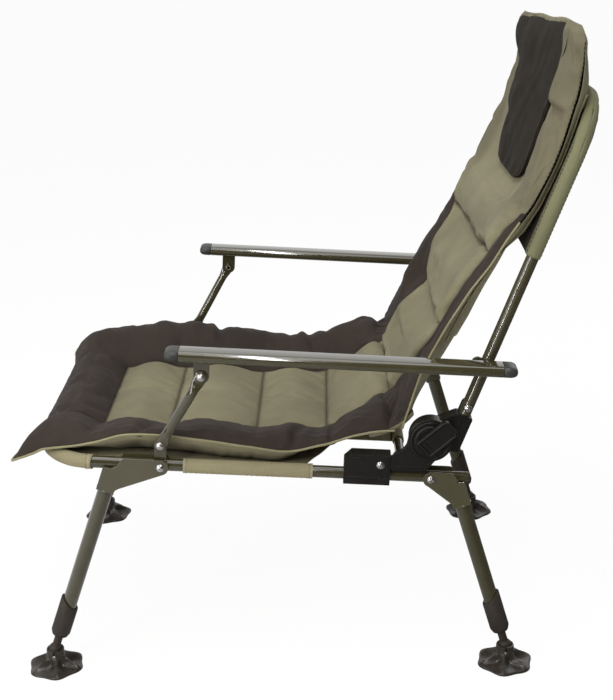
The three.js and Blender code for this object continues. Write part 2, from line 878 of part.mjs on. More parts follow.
// Mud foot: a lobed dome with a collar that holds the ball
function footShape() {
  const around = 4 * lobes;
  const ring = (radius, z, share) =>
    Array.from({ length: around }, (_, i) => {
      const angle = (2 * Math.PI * i) / around;
      const r = radius * (1 - share * lobeShare * (1 - Math.cos(lobes * angle)));
      return new THREE.Vector3(r * Math.cos(angle), r * Math.sin(angle), z - foot.height);
    });
  const shoulderShares = { radius: 0.62, height: 0.72, lobe: 1.4 };
  const dome = loft([
    ring(foot.radius, 0, 1),
    ring(foot.radius, foot.rim, 1),
    ring(foot.radius * shoulderShares.radius, foot.dome * shoulderShares.height, shoulderShares.lobe),
    ring(foot.collar, foot.dome, 0),
    ring(foot.collar, foot.height + foot.rimAbove, 0),
  ]);
  const socket = new THREE.SphereGeometry(extension.ball + 2 * touch, tubeSides, roundSides).rotateX(
    Math.PI / 2,
  );
  const slot = plate(
    outline(
      [-foot.slot / 2, 0],
      [foot.slot / 2, 0],
      [foot.slot / 2, foot.height],
      [-foot.slot / 2, foot.height],
    ),
    0,
    foot.radius,
  );
  return cut(dome, socket, slot);
}

function legPivotBolt() {
  const inner = legTube.radius + touch;
  const face = inner + cheek.thickness + touch;
  const core = bolt(legBolt, 0, 0, -face - legBolt.rise, -face, face);
  const spacer = (from, to) => pin(0, 0, legBolt.washer, from, to);
  const seated = rail.radius + touch;
  return join(
    core,
    spacer(seated, inner - touch),
    spacer(touch - inner, -seated),
  );
}

for (const side of Object.keys(sides)) {
  for (const [end, leg] of Object.entries(legs)) {
    const name = side + "_" + end;
    const pivot = new THREE.Group();
    pivot.position.set(rail.reach, leg.pivot, 0);
    pivot.scale.y = leg.away;
    sideGroup(seatFrame, side).add(pivot);
    piece(name + "_leg_bolt", legPivotBolt(), steel, pivot);
    piece(name + "_leg_bracket", legBracket(leg), paint, pivot);
    const shin = new THREE.Group();
    shin.position.set(0, leg.reach, -rail.radius);
    shin.rotation.x = leg.lean;
    pivot.add(shin);
    const length = legLength(leg);
    piece(name + "_leg_tube", legTubeShape(leg, length), paint, shin);
    piece(name + "_leg_sleeve", sleeveShape(length), plastic, shin);
    piece(name + "_leg_extension", extensionShape(length), plastic, shin);
    const level = new THREE.Group();
    level.position.set(0, 0, -length);
    level.rotation.x = leg.away > 0 ? seat.pitch - leg.lean : -seat.pitch - leg.lean;
    shin.add(level);
    piece(name + "_foot", footShape(), plastic, level);
  }
}

// Padding. A station is: place along the pad, then heights of the piped seam at the side,
// the raised edge, the middle of the face and the middle of the underside, all as shares.
const seatStationShares = [
  [0, -0.1, -0.07, -0.07, -0.13],
  [0.02, -0.05, 0.16, 0.12, -0.06],
  [0.054, 0.035, 0.32, 0.24, 0.1],
  [0.083, 0.13, 0.4, 0.27, 0.16],
  [0.146, 0.19, 0.5, 0.24, 0.06],
  [0.206, 0.27, 0.55, 0.06, -0.065],
  [0.297, 0.44, 0.66, 0.18, -0.18],
  [0.387, 0.46, 0.7, 0.1, -0.2],
  [0.506, 0.4, 0.64, 0.18, -0.22],
  [0.625, 0.32, 0.57, 0.09, -0.22],
  [0.722, 0.27, 0.56, 0.18, -0.21],
  [0.817, 0.42, 0.68, 0.15, -0.17],
  [0.908, 0.62, 0.88, 0.52, 0.08],
  [0.967, 0.7, 0.95, 0.84, 0.45],
  [1, 0.72, 0.8, 0.8, 0.72],
];
const backStationShares = [
  [0, -0.44, -0.48, -0.5, -0.42],
  [0.03, -0.45, -0.62, -0.6, -0.24],
  [0.137, -0.4, -0.6, -0.52, -0.06],
  [0.241, -0.32, -0.52, -0.26, 0.06],
  [0.342, -0.2, -0.43, -0.33, 0.11],
  [0.446, -0.02, -0.28, -0.13, 0.17],
  [0.533, 0.06, -0.2, -0.2, 0.2],
  [0.62, 0.08, -0.15, 0.0, 0.23],
  [0.746, 0.08, -0.13, -0.05, 0.233],
  [0.86, 0.05, -0.16, -0.07, 0.222],
  [0.92, -0.04, -0.26, -0.15, 0.13],
  [0.974, -0.16, -0.33, -0.26, 0.0],
  [1, -0.25, -0.3, -0.28, -0.22],
];

// Heights between stations follow a smooth curve through them
function heightsAt(stations, along) {
  const last = stations.length - 1;
  let i = 0;
  while (i < last - 1 && stations[i + 1][0] < along) i++;
  const local = (along - stations[i][0]) / (stations[i + 1][0] - stations[i][0]);
  const rows = [-1, 0, 1, 2].map((k) => stations[Math.min(last, Math.max(0, i + k))]);
  return [1, 2, 3, 4].map((column) => {
    const [p, q, r, s] = rows.map((row) => row[column]);
    const slope = [(r - p) / 2, (s - q) / 2].map((value) => value * softShare);
    const t2 = local * local;
    const t3 = t2 * local;
    const between = q * (2 * t3 - 3 * t2 + 1) + r * (3 * t2 - 2 * t3);
    return between + slope[0] * (t3 - 2 * t2 + local) + slope[1] * (t3 - t2);
  });
}

const softShare = 0.8;
const borderShare = 0.54;
const faceShares = [1, 0.97, 0.9, 0.8, 0.68, borderShare, 0.36, 0.18];
const undersideShares = [0.97, 0.85, 0.6, 0.3];
const ease = (value) => value * value * (3 - 2 * value);

// The underside's height at a share of the way out to the seam
const underAt = (seam, under, across) => seam + (under - seam) * Math.sqrt(1 - across ** 3);

// How deep the face is sewn down, at a share of the way along and of the way out
function sewnDown(pad, along, across) {
  const [from, to] = pad.borderShares;
  if (across === borderShare) return along >= from && along <= to ? pad.channel : 0;
  if (across > borderShare) return 0;
  const nearest = Math.min(...pad.seamShares.map((seam) => Math.abs(along - seam)));
  return pad.channel * Math.max(0, 1 - nearest / channelShare) ** 2;
}
const channelShare = 0.09;

// One closed section of a pad, from the left seam over the face and back underneath
function padSection(pad, stations, along) {
  const heights = heightsAt(stations, along);
  const [seam, edge, face, under] = heights.map((height) => height * pad.rise);
  const faceHeight = (across) => {
    const rise = ease(THREE.MathUtils.clamp((across - foldInShare) / (foldOutShare - foldInShare), 0, 1));
    const top = face + (edge - face) * rise;
    const drop = THREE.MathUtils.clamp((across - foldOutShare) / (1 - foldOutShare), 0, 1);
    const inwards = Math.sign(under - face) * sewnDown(pad, along, across);
    return seam + (top - seam) * Math.sqrt(1 - drop * drop) + inwards;
  };
  const underHeight = (across) => underAt(seam, under, across);
  const face1 = faceShares.map((across) => [across, faceHeight(across)]);
  const under1 = undersideShares.map((across) => [across, underHeight(across)]);
  const flip = (pairs) => pairs.map(([across, height]) => [-across, height]).reverse();
  return [
    ...face1,
    [0, faceHeight(0)],
    ...flip(face1),
    ...flip(under1).reverse(),
    [0, underHeight(0)],
    ...[...under1].reverse(),
  ].map(([across, height]) => [across * pad.reach, height]);
}
const foldInShare = 0.5;
const foldOutShare = 0.8;
const padSteps = 34;

// Shares of the way along at which a pad has a ring: on each seam, and evenly between seams
function ringShares(pad) {
  const ends = [0, ...pad.seamShares, 1];
  const places = [0];
  for (let i = 1; i < ends.length; i++) {
    const stretch = ends[i] - ends[i - 1];
    const steps = Math.round(stretch * padSteps);
    for (let step = 1; step <= steps; step++) {
      places.push(ends[i - 1] + (stretch * step) / steps);
    }
  }
  return places;
}

// Rings for a pad; place turns the distance along, the offset across and the height into a point
function padShape(pad, stations, place) {
  const rings = ringShares(pad).map((share) => {
    const along = pad.start + share * pad.length;
    return padSection(pad, stations, share).map(([x, height]) => place(along, x, height));
  });
  return loft(rings);
}

piece(
  "seat_mattress",
  padShape(seatPad, seatStationShares, (along, x, height) => new THREE.Vector3(x, along, height)),
  khaki,
  seatFrame,
);
piece(
  "back_mattress",
  padShape(backPad, backStationShares, (along, x, height) => new THREE.Vector3(x, height, along)),
  khaki,
  backFrame,
);

// Head pillow: a rounded pad that lies on the face of the back mattress
const pillowSteps = 12;
function pillowShape() {
  const rings = [];
  for (let i = 0; i <= pillowSteps; i++) {
    const share = (1 - Math.cos((Math.PI * i) / pillowSteps)) / 2;
    const along = pillow.start + pillow.length * share;
    const bulge = Math.sqrt(Math.max(pillowEdgeShare, 1 - (2 * share - 1) ** 4));
    const narrow = bulge ** 2 * (1 - pillowNarrowShare) + pillowNarrowShare;
    const reach = pillow.reach * (share < 1 / 2 ? narrow : 1);
    const mattress = heightsAt(backStationShares, (along - backPad.start) / backPad.length);
    const seatAt = mattress[2] * backPad.rise - pillow.lift;
    const front = pillowFrontShare * pillow.rise * bulge;
    const ring = [];
    for (const across of pillowShares) {
      ring.push(new THREE.Vector3(across * reach, seatAt - front * Math.sqrt(1 - across ** 4), along));
    }
    for (const across of [...pillowShares].reverse().slice(1, -1)) {
      ring.push(new THREE.Vector3(across * reach, seatAt, along));
    }
    rings.push(ring);
  }
  return loft(rings);
}
const pillowShares = [-1, -0.93, -0.75, -0.45, 0, 0.45, 0.75, 0.93, 1];
const pillowEdgeShare = 0.04;
const pillowFrontShare = 0.26;
const pillowNarrowShare = 0.55;
piece("head_pillow", cut(pillowShape(), backPadClear()), dark, backFrame);

// The back mattress, moved forward by a clearance, to keep the pillow off it
function backPadClear() {
  const forward = (along, x, height) => new THREE.Vector3(x, height - pillow.lift, along);
  return padShape(backPad, backStationShares, forward);
}

// Seat cloth: a slung sheet under the mattress, with sleeves round the rails and the cross bar
function seatClothSheet() {
  const start = rail.front + rail.radius + touch;
  const end = crossBar.along - crossBar.radius - touch;
  const spacing = seatPad.length / padSteps;
  const rows = ringShares(seatPad).map((share) => seatPad.start + share * seatPad.length);
  const inner = rows.filter((along, i) => i % 2 === 0 && along > start + spacing && along < end - spacing);
  const places = [start, ...inner, end];
  const edges = [seatCloth.reach / seatPad.reach, ...undersideShares.slice(1), 0];
  const across = [...edges, ...[...edges].reverse().slice(1).map((share) => -share)];
  return loft(
    places.map((along) => {
      const widthShare = sheetReach(along) / seatCloth.reach;
      const heights = heightsAt(seatStationShares, Math.min(1, (along - seatPad.start) / seatPad.length));
      const [seam, , , under] = heights.map((height) => height * seatPad.rise);
      const at = (place, lift) => {
        const pad = underAt(seam, under, Math.abs(place)) - seatCloth.lift;
        return new THREE.Vector3(place * seatPad.reach * widthShare, along, Math.min(0, pad) + lift);
      };
      return [
        ...across.map((place) => at(place, 0)),
        ...[...across].reverse().map((place) => at(place, -seatCloth.thick)),
      ];
    }),
  );
}

// Half of the sheet's width: it keeps inside the bends at the front corners
function sheetReach(along) {
  const inside = (rail.bend - rail.radius) * Math.cos(Math.PI / 4 / bendSteps) - touch;
  const ahead = Math.max(0, rail.front + rail.bend - along);
  const corner = rail.reach - rail.bend + Math.sqrt(Math.max(0, inside ** 2 - ahead ** 2));
  return Math.min(seatCloth.reach, corner);
}

// The strips that reach out from the sheet to the sleeves on the side rails
function clothStrips() {
  const from = seatCloth.reach - bury;
  const width = rail.reach - rail.radius - from;
  return Object.values(sides).map((side) =>
    new THREE.BoxGeometry(width, seatCloth.sleeveLength, seatCloth.thick).translate(
      side * (from + width / 2),
      seatCloth.sleeveStart + seatCloth.sleeveLength / 2,
      -seatCloth.thick / 2,
    ),
  );
}

function clothSleeves() {
  const inner = clear(rail.radius);
  const outer = inner + seatCloth.sleeve;
  const parts = Object.values(sides).map((side) => {
    const x = side * rail.reach;
    const along = (y) => new THREE.Vector3(x, y, 0);
    const start = seatCloth.sleeveStart;
    return tubeAlong([along(start), along(start + seatCloth.sleeveLength)], 0, outer, inner);
  });
  const reach = rail.reach - rail.bend;
  const across = (x) => new THREE.Vector3(x, rail.front, 0);
  parts.push(tubeAlong([across(-reach), across(reach)], 0, outer, inner));
  const bar = (x) => new THREE.Vector3(x, crossBar.along, 0);
  const barIn = clear(crossBar.radius);
  parts.push(tubeAlong([bar(-reach), bar(reach)], 0, barIn + seatCloth.sleeve, barIn));
  return parts;
}

function seatClothSolid() {
  const reach = rail.reach;
  const room = clear(rail.radius);
  const tools = Object.values(sides).map((side) =>
    new THREE.CylinderGeometry(room, room, 2 * rail.rear, tubeSides).translate(side * reach, 0, 0),
  );
  tools.push(pin(rail.front, 0, room, -reach, reach, tubeSides));
  tools.push(pin(crossBar.along, 0, clear(crossBar.radius), -reach, reach, tubeSides));
  return cut(join(seatClothSheet(), ...clothStrips(), ...clothSleeves()), ...tools);
}
piece("seat_cloth", seatClothSolid(), khaki, seatFrame);

// Back cloth: the lining sheet behind the back mattress, up into the hood
function backClothShape() {
  const rings = [];
  const shares = [...undersideShares.slice(1), 0];
  const across = [...shares, ...[...shares].reverse().slice(1).map((share) => -share)];
  for (const share of ringShares(backPad)) {
    const along = backPad.start + share * backPad.length;
    if (along < backCloth.start || along > backCloth.end) continue;
    const [seam, , , under] = heightsAt(backStationShares, share).map((height) => height * backPad.rise);
    const at = (place, lift) =>
      new THREE.Vector3(place * backPad.reach, underAt(seam, under, Math.abs(place)) + lift, along);
    rings.push([
      ...across.map((place) => at(place, backCloth.lift)),
      ...[...across].reverse().map((place) => at(place, backCloth.lift + backCloth.thick)),
    ]);
  }
  return loft(rings);
}
piece("back_cloth", backClothShape(), khaki, backFrame);

// Hood: a fabric pocket pulled over the top of the backrest frame
function hoodOutline(inset, start) {
  const reach = rail.reach - back.inset + back.radius + touch - inset;
  const top = back.top + back.radius + touch - inset;
  const bend = back.bend + back.radius - inset;
  return outline(
    [-reach, start],
    [reach, start],
    ...arc(reach - bend, top - bend, bend, 0, 90),
    ...arc(bend - reach, top - bend, bend, 90, 180),
  );
}

function hoodShape() {
  const half = back.radius + touch;
  const wallIn = -hood.wall;
  const slab = (inset, start, depth) =>
    new THREE.ExtrudeGeometry(hoodOutline(inset, start), { depth: 2 * depth, bevelEnabled: false })
      .rotateX(Math.PI / 2)
      .translate(0, back.behind + depth, 0);
  return cut(
    slab(wallIn, hood.start, half + hood.wall),
    slab(0, hood.start - overrun, half),
  );
}
piece("back_hood", hoodShape(), khaki, backFrame);

// The row's origin is the middle of the base
chair.updateMatrixWorld(true);
const box = new THREE.Box3().setFromObject(chair, true);
const middle = box.getCenter(new THREE.Vector3());
chair.position.set(0, -middle.y, -box.min.z);
chair.updateMatrixWorld(true);

export default chair;
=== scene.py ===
"""The looks of the carp fishing chair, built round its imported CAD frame.

Each piece is drawn in millimetres in the frame of the piece that carries it, as in the CAD source:
X is the chair's left, Y runs to the rear and Z up from the seat frame or along the backrest.
"""
import json
import math
from types import SimpleNamespace as Sizes

import bmesh
import bpy
import numpy as np
from mathutils import Matrix, Vector


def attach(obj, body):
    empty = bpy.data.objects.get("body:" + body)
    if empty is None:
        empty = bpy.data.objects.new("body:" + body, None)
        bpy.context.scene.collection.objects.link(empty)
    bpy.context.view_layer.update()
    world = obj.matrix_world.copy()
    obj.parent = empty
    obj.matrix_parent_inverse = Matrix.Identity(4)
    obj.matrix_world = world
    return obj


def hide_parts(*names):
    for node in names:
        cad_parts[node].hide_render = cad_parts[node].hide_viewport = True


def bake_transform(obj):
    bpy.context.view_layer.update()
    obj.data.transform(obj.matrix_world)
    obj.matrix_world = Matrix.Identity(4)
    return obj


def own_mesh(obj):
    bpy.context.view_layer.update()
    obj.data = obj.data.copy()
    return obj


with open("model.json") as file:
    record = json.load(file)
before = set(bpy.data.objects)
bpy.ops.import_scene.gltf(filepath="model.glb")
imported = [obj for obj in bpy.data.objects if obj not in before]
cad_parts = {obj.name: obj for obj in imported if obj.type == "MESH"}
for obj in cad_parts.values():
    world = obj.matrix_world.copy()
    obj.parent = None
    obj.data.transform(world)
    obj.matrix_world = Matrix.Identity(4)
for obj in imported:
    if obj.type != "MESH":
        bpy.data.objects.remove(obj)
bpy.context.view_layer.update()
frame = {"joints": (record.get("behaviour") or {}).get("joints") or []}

# Driving sizes, in millimetres and degrees: the CAD source's, but for the weld and the pillow's top
MM = 0.001
PITCH, BACK_LEAN, REST_SLOPE, LEVER_TURN = 3.43, 17.57, 3.7, 29
TOUCH = 0.3
rail = Sizes(radius=10, reach=290, front=8, rear=702.8, bend=85)
cross_bar = Sizes(radius=8, along=597)
plug = Sizes(flange=3)
leg_tube = Sizes(radius=12.5, wall=1.5)
legs = {
    "front": Sizes(pivot=203.8, reach=79.6, lean=16.26, top=58, away=-1),
    "rear": Sizes(pivot=641.9, reach=41.6, lean=20, top=31, away=1),
}
cheek = Sizes(thickness=2, radius=13, socket=38, web=20, notch=8)
leg_bolt = Sizes(head=6.5, rise=3.5, washer=6)
sleeve = Sizes(wall=3.5, length=66, tongue=9, foot=30)
extension = Sizes(length=200, neck=7, ball=11)
foot = Sizes(radius=48, height=34, dome=17, slot=3)
hub = Sizes(along=635.7, above=70.4, radius=36, arm_radius=34, bolt=4, step=3)
saddle = Sizes(start=500, length=75, top=38, bottom=13.5, inner=14, outer=15, chamfer=12)
saddle_bolt = Sizes(along=558.8, above=22, head=6.5, rise=3)
base = Sizes(length=57, top=30, lift=10.5, inner=11, cheek_in=11, cheek_out=23, skirt=18)
arm = Sizes(inner=11.5, outer=10.7, wall=3, top=54, bottom=8, tongue=78)
lever = Sizes(length=60, width=33, thickness=12, gap=1, corner=9, heel=16)
back = Sizes(radius=10, inset=5, behind=38.5, start=2, top=580, bend=85)
arm_bolt = Sizes(along=67, head=6.5, rise=3.5)
rest = Sizes(width=40, height=18, wall=1.5, offset=26, front=490, rear=58.5, cap=22)
rear_pin = Sizes(along=142.6, ahead=14.8, radius=4, plate=4, edge=10, plate_in=2, drop=24)
lug = Sizes(along=202.9, above=37.6, width=20, plate=4, offset=5)
weld = Sizes(radius=2.6, wobble=0.5, height_share=0.86, steps=15)
strut = Sizes(radius=10, plate=5, flat=14, lower=10.5, upper=31)
strut_bolt = Sizes(radius=3, head=6.5, rise=3.5, nut=4)
tab = Sizes(width=25, plate=4, offset=26)
seat_pad = Sizes(start=-42, length=622, reach=278, rise=100)
back_pad = Sizes(start=-8, length=681, reach=278, rise=100)
pillow = Sizes(start=408, top=668, reach=150)
seat_cloth = Sizes(reach=268, lift=1.8, sleeve_start=240, sleeve_length=210)
back_cloth = Sizes(start=140, end=588)
hood = Sizes(start=330, wall=1.6)


# Frames: the seat, the backrest at its hub, the armrest at its pin, the strut at its lower bolt
def about_x(degrees):
    return Matrix.Rotation(math.radians(degrees), 4, "X")


def shift(x, y, z):
    return Matrix.Translation((x, y, z))


joints = {joint["name"]: joint for joint in frame["joints"]}
hub_at = Vector(joints["backrest_recline"]["pos_m"])
SEAT = shift(*hub_at) @ about_x(-PITCH) @ Matrix.Scale(MM, 4) @ shift(0, -hub.along, -hub.above)
BACK = shift(*hub_at) @ about_x(-PITCH - BACK_LEAN) @ Matrix.Scale(MM, 4)
pin_at = BACK @ Vector((0, back.behind - rear_pin.ahead, rear_pin.along))
low_at = SEAT @ Vector((0, lug.along, lug.above))
link = (pin_at - hub_at) / MM
REST = shift(*pin_at) @ about_x(-REST_SLOPE) @ Matrix.Scale(MM, 4)
STRUT = shift(*low_at) @ about_x(-math.degrees(math.atan2(link.y, link.z))) @ Matrix.Scale(MM, 4)
SIDES = {"left": 1, "right": -1}


def mirrored(at, side):
    return at @ Matrix.Diagonal((SIDES[side], 1, 1, 1))


# Camera, where the photograph was taken from: radians, metres from the hub and millimetres of lens
VIEW = Sizes(
    elevation=0.3365755,
    yaw=0.01730101,
    roll=-0.01852126,
    from_hub=(2.2195, -0.16247, 0.82461),
    sensor=36,
    lens=66.857,
)


def add_camera():
    turn, level = math.pi / 2 + VIEW.yaw, math.cos(VIEW.elevation)
    behind = Vector((math.sin(turn) * level, -math.cos(turn) * level, math.sin(VIEW.elevation)))
    right = (-behind).cross(Vector((0, 0, 1))).normalized()
    up = right.cross(-behind)
    axes = Matrix((right, up, behind)).transposed() @ Matrix.Rotation(VIEW.roll, 3, "Z")
    data = bpy.data.cameras.new("camera")
    data.sensor_fit, data.sensor_height, data.lens = "VERTICAL", VIEW.sensor, VIEW.lens
    camera = bpy.data.objects.new("camera", data)
    camera.matrix_world = shift(*(hub_at + Vector(VIEW.from_hub))) @ axes.to_4x4()
    bpy.context.scene.collection.objects.link(camera)
    bpy.context.scene.camera = camera


add_camera()


# Materials
def colour(text):
    """An sRGB colour such as 6d6a50 as linear values."""
    parts = [int(text[i : i + 2], 16) / 255 for i in (0, 2, 4)]
    linear = [c / 12.92 if c <= 0.04045 else ((c + 0.055) / 1.055) ** 2.4 for c in parts]
    return (*linear, 1.0)


def toned(value, factor):
    return (*[min(1.0, c * factor) for c in value[:3]], 1.0)


class Finish:
    """A material whose nodes vary its colour, roughness and relief."""

    def __init__(self, name, **sockets):
        self.material = bpy.data.materials.new(name)
        self.material.use_nodes = True
        self.tree = self.material.node_tree
        self.shader = self.tree.nodes["Principled BSDF"]
        for key, value in sockets.items():
            self.shader.inputs[key.replace("_", " ")].default_value = value
        self.place = self.add("ShaderNodeTexCoord").outputs["Object"]
        self.normal = None

    def add(self, kind, **values):
        made = self.tree.nodes.new(kind)
        for key, value in values.items():
            if isinstance(value, bpy.types.NodeSocket):
                self.tree.links.new(value, made.inputs[key.replace("_", " ")])
            elif key.replace("_", " ") in made.inputs:
                made.inputs[key.replace("_", " ")].default_value = value
            else:
                setattr(made, key, value)
        return made

    def math(self, operation, a, b=0.0, c=0.0):
        made = self.add("ShaderNodeMath", operation=operation)
        for i, value in enumerate((a, b, c)):
            if isinstance(value, bpy.types.NodeSocket):
                self.tree.links.new(value, made.inputs[i])
            else:
                made.inputs[i].default_value = value
        return made.outputs[0]

    def noise(self, scale, detail=2.0, stretch=(1, 1, 1)):
        place = self.add("ShaderNodeMapping", Vector=self.place, Scale=stretch).outputs[0]
        return self.add("ShaderNodeTexNoise", Vector=place, Scale=scale, Detail=detail).outputs[0]

    def ramp(self, factor, *stops):
        made = self.add("ShaderNodeValToRGB", Fac=factor)
        ends = made.color_ramp.elements
        while len(ends) < len(stops):
            ends.new(0.5)
        for end, (position, value) in zip(ends, stops):
            end.position = position
            end.color = value if hasattr(value, "__len__") else (value, value, value, 1.0)
        return made.outputs[0]

    def mix(self, factor, a, b, blend="MIX"):
        made = self.add("ShaderNodeMix", data_type="RGBA", blend_type=blend)
        for index, value in ((0, factor), (6, a), (7, b)):
            if isinstance(value, bpy.types.NodeSocket):
                self.tree.links.new(value, made.inputs[index])
            else:
                made.inputs[index].default_value = value
        return made.outputs[2]

    def bands(self, direction, period):
        """A sine of the place along a direction, between -1 and 1."""
        dot = self.add("ShaderNodeVectorMath", operation="DOT_PRODUCT")
        self.tree.links.new(self.place, dot.inputs[0])
        dot.inputs[1].default_value = direction
        return self.math("SINE", self.math("MULTIPLY", dot.outputs["Value"], 2 * math.pi / period))

    def bump(self, height, distance, strength=1.0):
        made = self.add("ShaderNodeBump", Height=height, Distance=distance, Strength=strength)
        if self.normal:
            self.tree.links.new(self.normal, made.inputs["Normal"])
        self.normal = made.outputs[0]

    def done(self, base=None, roughness=None):
        for key, value in (("Base Color", base), ("Roughness", roughness), ("Normal", self.normal)):
            if value:
                self.tree.links.new(value, self.shader.inputs[key])
        return self.material


def painted(name, tone, roughness):
    """Stoved enamel on steel: faint orange peel and mottling, and a few dull patches."""
    f = Finish(name, Specular_IOR_Level=0.45, Coat_Weight=1.0, Coat_Roughness=0.03)
    base = f.ramp(f.noise(9, 4), (0.3, toned(tone, 0.88)), (0.7, toned(tone, 1.12)))
    dull = f.ramp(f.noise(26, 5, (1, 0.5, 1)), (0.55, 0.0), (0.8, 1.0))
    rough = f.math("ADD", f.math("MULTIPLY", dull, 0.1), roughness)
    f.bump(f.noise(260, 2), 0.0001, 0.01)
    return f.done(base, rough)


def plated(name, tone):
    """Bright zinc-plated steel, finely brushed."""
    f = Finish(name, Metallic=1.0)
    base = f.ramp(f.noise(160, 4), (0.3, toned(tone, 0.85)), (0.7, tone))
    rough = f.ramp(f.noise(900, 3, (1, 6, 1)), (0.3, 0.16), (0.8, 0.36))
    f.bump(f.noise(1400, 2, (1, 5, 1)), 0.00008, 0.4)
    return f.done(base, rough)


def moulded(name, tone, roughness, grain):
    """Moulded plastic with a spark-eroded grain, and specks of dust."""
    f = Finish(name, Specular_IOR_Level=0.32)
    base = f.ramp(f.noise(24, 5), (0.35, toned(tone, 0.85)), (0.7, toned(tone, 1.25)))
    dust = f.ramp(f.noise(260, 5), (0.6, 0.0), (0.85, 1.0))
    base = f.mix(f.math("MULTIPLY", dust, 0.1), base, colour("8a8378"))
    rough = f.math("ADD", f.math("MULTIPLY", f.noise(90, 4), 0.2), roughness)
    f.bump(f.noise(2600, 2), grain, 0.5)
    return f.done(base, rough)


def woven(name, tone, sheen=0.02, other=None, period=0.0011, fleck=0.12):
    """Plain-woven polyester. Above zero, the border attribute gives the other tone; a second attribute
    paints shade on it.
    """
    f = Finish(name, Sheen_Weight=sheen, Sheen_Roughness=0.5, Specular_IOR_Level=0.12)

    def shade(value):
        cloudy = f.ramp(f.noise(11, 4), (0.32, toned(value, 0.86)), (0.68, toned(value, 1.12)))
        threads = f.ramp(f.noise(1900, 2), (0.35, toned(value, 0.4)), (0.65, toned(value, 1.9)))
        return f.mix(fleck, cloudy, threads)

    base = shade(tone)
    if other:
        border = f.add("ShaderNodeAttribute", attribute_name="border").outputs["Fac"]
        base = f.mix(f.math("GREATER_THAN", border, 0.0), base, shade(other))
        # Painted shade: the cloth darkens towards a deep tone of the border colour in seams and folds
        painted_shade = f.add("ShaderNodeAttribute", attribute_name="painted_shade").outputs["Fac"]
        base = f.mix(f.math("MULTIPLY", painted_shade, 0.8), base, toned(other, 0.55))
    weft = f.bands((1, 0, 0), period)
    warp = f.bands((0, 0.78, 0.62), period)
    weave = f.math("MAXIMUM", weft, warp)
    base = f.mix(0.22, base, f.ramp(weave, (0.2, 0.55), (0.9, 1.0)), "MULTIPLY")
    rough = f.math("ADD", f.math("MULTIPLY", f.noise(60, 3), 0.18), 0.66)
    f.bump(f.math("ADD", weave, f.noise(1500, 2)), 0.00012, 0.5)
    f.bump(f.noise(170, 3), 0.0006, 0.3)
    return f.done(base, rough)


PAINT = painted("olive enamel", colour("35311f"), 0.12)
PLATE_PAINT = painted("olive enamel on pressings", colour("3e3a26"), 0.2)
STEEL = plated("zinc plated steel", colour("d9d7d2"))
PLASTIC = moulded("hinge plastic", colour("14110e"), 0.3, 0.00005)
SLEEVE_PLASTIC = moulded("sleeve plastic", colour("2b241e"), 0.48, 0.00012)
CAP_PLASTIC = moulded("end cap plastic", colour("2e2e2c"), 0.34, 0.00005)
RUBBER = moulded("mud foot rubber", colour("2b2622"), 0.18, 0.00008)
KHAKI, DARK = colour("706b55"), colour("2f2823")
PAD_CLOTH = woven("khaki and dark cloth", KHAKI, other=DARK)
OLIVE_CLOTH = woven("olive cloth", colour("66654c"))
DARK_CLOTH_AND_SHADE = woven("dark cloth", DARK)
PILLOW_CLOTH = woven("pillow cloth", colour("1d1811"), sheen=0.0)
LINING = woven("lining cloth", colour("7a735a"))
HEM = woven("hem", colour("827b62"))
PIPING = woven("piping", colour("7c775c"), period=0.0008)
THREAD = woven("sewing thread", colour("14120f"), period=0.0004)


# Shapes: each one is a list of points and a list of faces
def ease(value):
    value = np.clip(value, 0, 1)
    return value * value * (3 - 2 * value)


def arc(y, z, radius, start, end, steps=12):
    angles = np.radians(np.linspace(start, end, steps + 1))
    return [(y + radius * math.cos(a), z + radius * math.sin(a)) for a in angles]


def rings_shape(rings, closed=False, caps=True):
    """A skin over rings of points; closed joins the last ring to the first."""
    rings = np.asarray(rings, float)
    count, around = rings.shape[:2]
    faces = []
    for i in range(count if closed else count - 1):
        a, b = i * around, (i + 1) % count * around
        faces += [(a + k, a + (k + 1) % around, b + (k + 1) % around, b + k) for k in range(around)]
    if caps and not closed:
        faces += [tuple(range(around - 1, -1, -1)), tuple(range((count - 1) * around, count * around))]
    return rings.reshape(-1, 3), faces


def plate(outline, start, end):
    """An outline in Y and Z, made solid from one X to another."""
    ring = np.array([(0, y, z) for y, z in outline], float)
    return rings_shape([ring + (start, 0, 0), ring + (end, 0, 0)])


def spun(profile, centre=(0, 0, 0), axis="Z", sides=40):
    """Pairs of radius and height, turned about an axis."""
    angles = np.arange(sides) * 2 * math.pi / sides
    rings = []
    for radius, height in profile:
        a, b = radius * np.cos(angles), radius * np.sin(angles)
        h = np.full(sides, float(height))
        rings.append(np.stack({"X": (h, a, b), "Y": (b, h, a), "Z": (a, b, h)}[axis], 1))
    return rings_shape(np.array(rings) + np.array(centre))


def route(corners, bend, steps=14):
    """Points along straight runs whose corners are rounded to a bend radius."""
    corners = [np.array(c, float) for c in corners]
    points = [corners[0]]
    for before, here, after in zip(corners, corners[1:], corners[2:]):
        into, out = here - before, after - here
        into, out = into / np.linalg.norm(into), out / np.linalg.norm(out)
        turn = math.acos(np.clip(into @ out, -1, 1))
        start = here - into * bend * math.tan(turn / 2)
        inward = out - into * (out @ into)
        inward /= np.linalg.norm(inward)
        for angle in np.linspace(0, turn, steps + 1):
            points.append(start + into * bend * math.sin(angle) + inward * bend * (1 - math.cos(angle)))
    return np.array(points + [corners[-1]])


# A direction that no path here starts along
UNALIGNED = (0.3, 0.2, 1.0)


def run_of(path):
    """How far along a path each of its points lies."""
    return np.concatenate([[0], np.cumsum(np.linalg.norm(np.diff(path, axis=0), axis=1))])


def point_at(place, run, path):
    """The point of a path at a place along its run."""
    return [np.interp(place, run, path[:, k]) for k in range(3)]


def grid_faces(rows, columns):
    faces = []
    for i in range(rows - 1):
        for k in range(columns - 1):
            a = i * columns + k
            faces.append((a, a + 1, a + columns + 1, a + columns))
    return faces


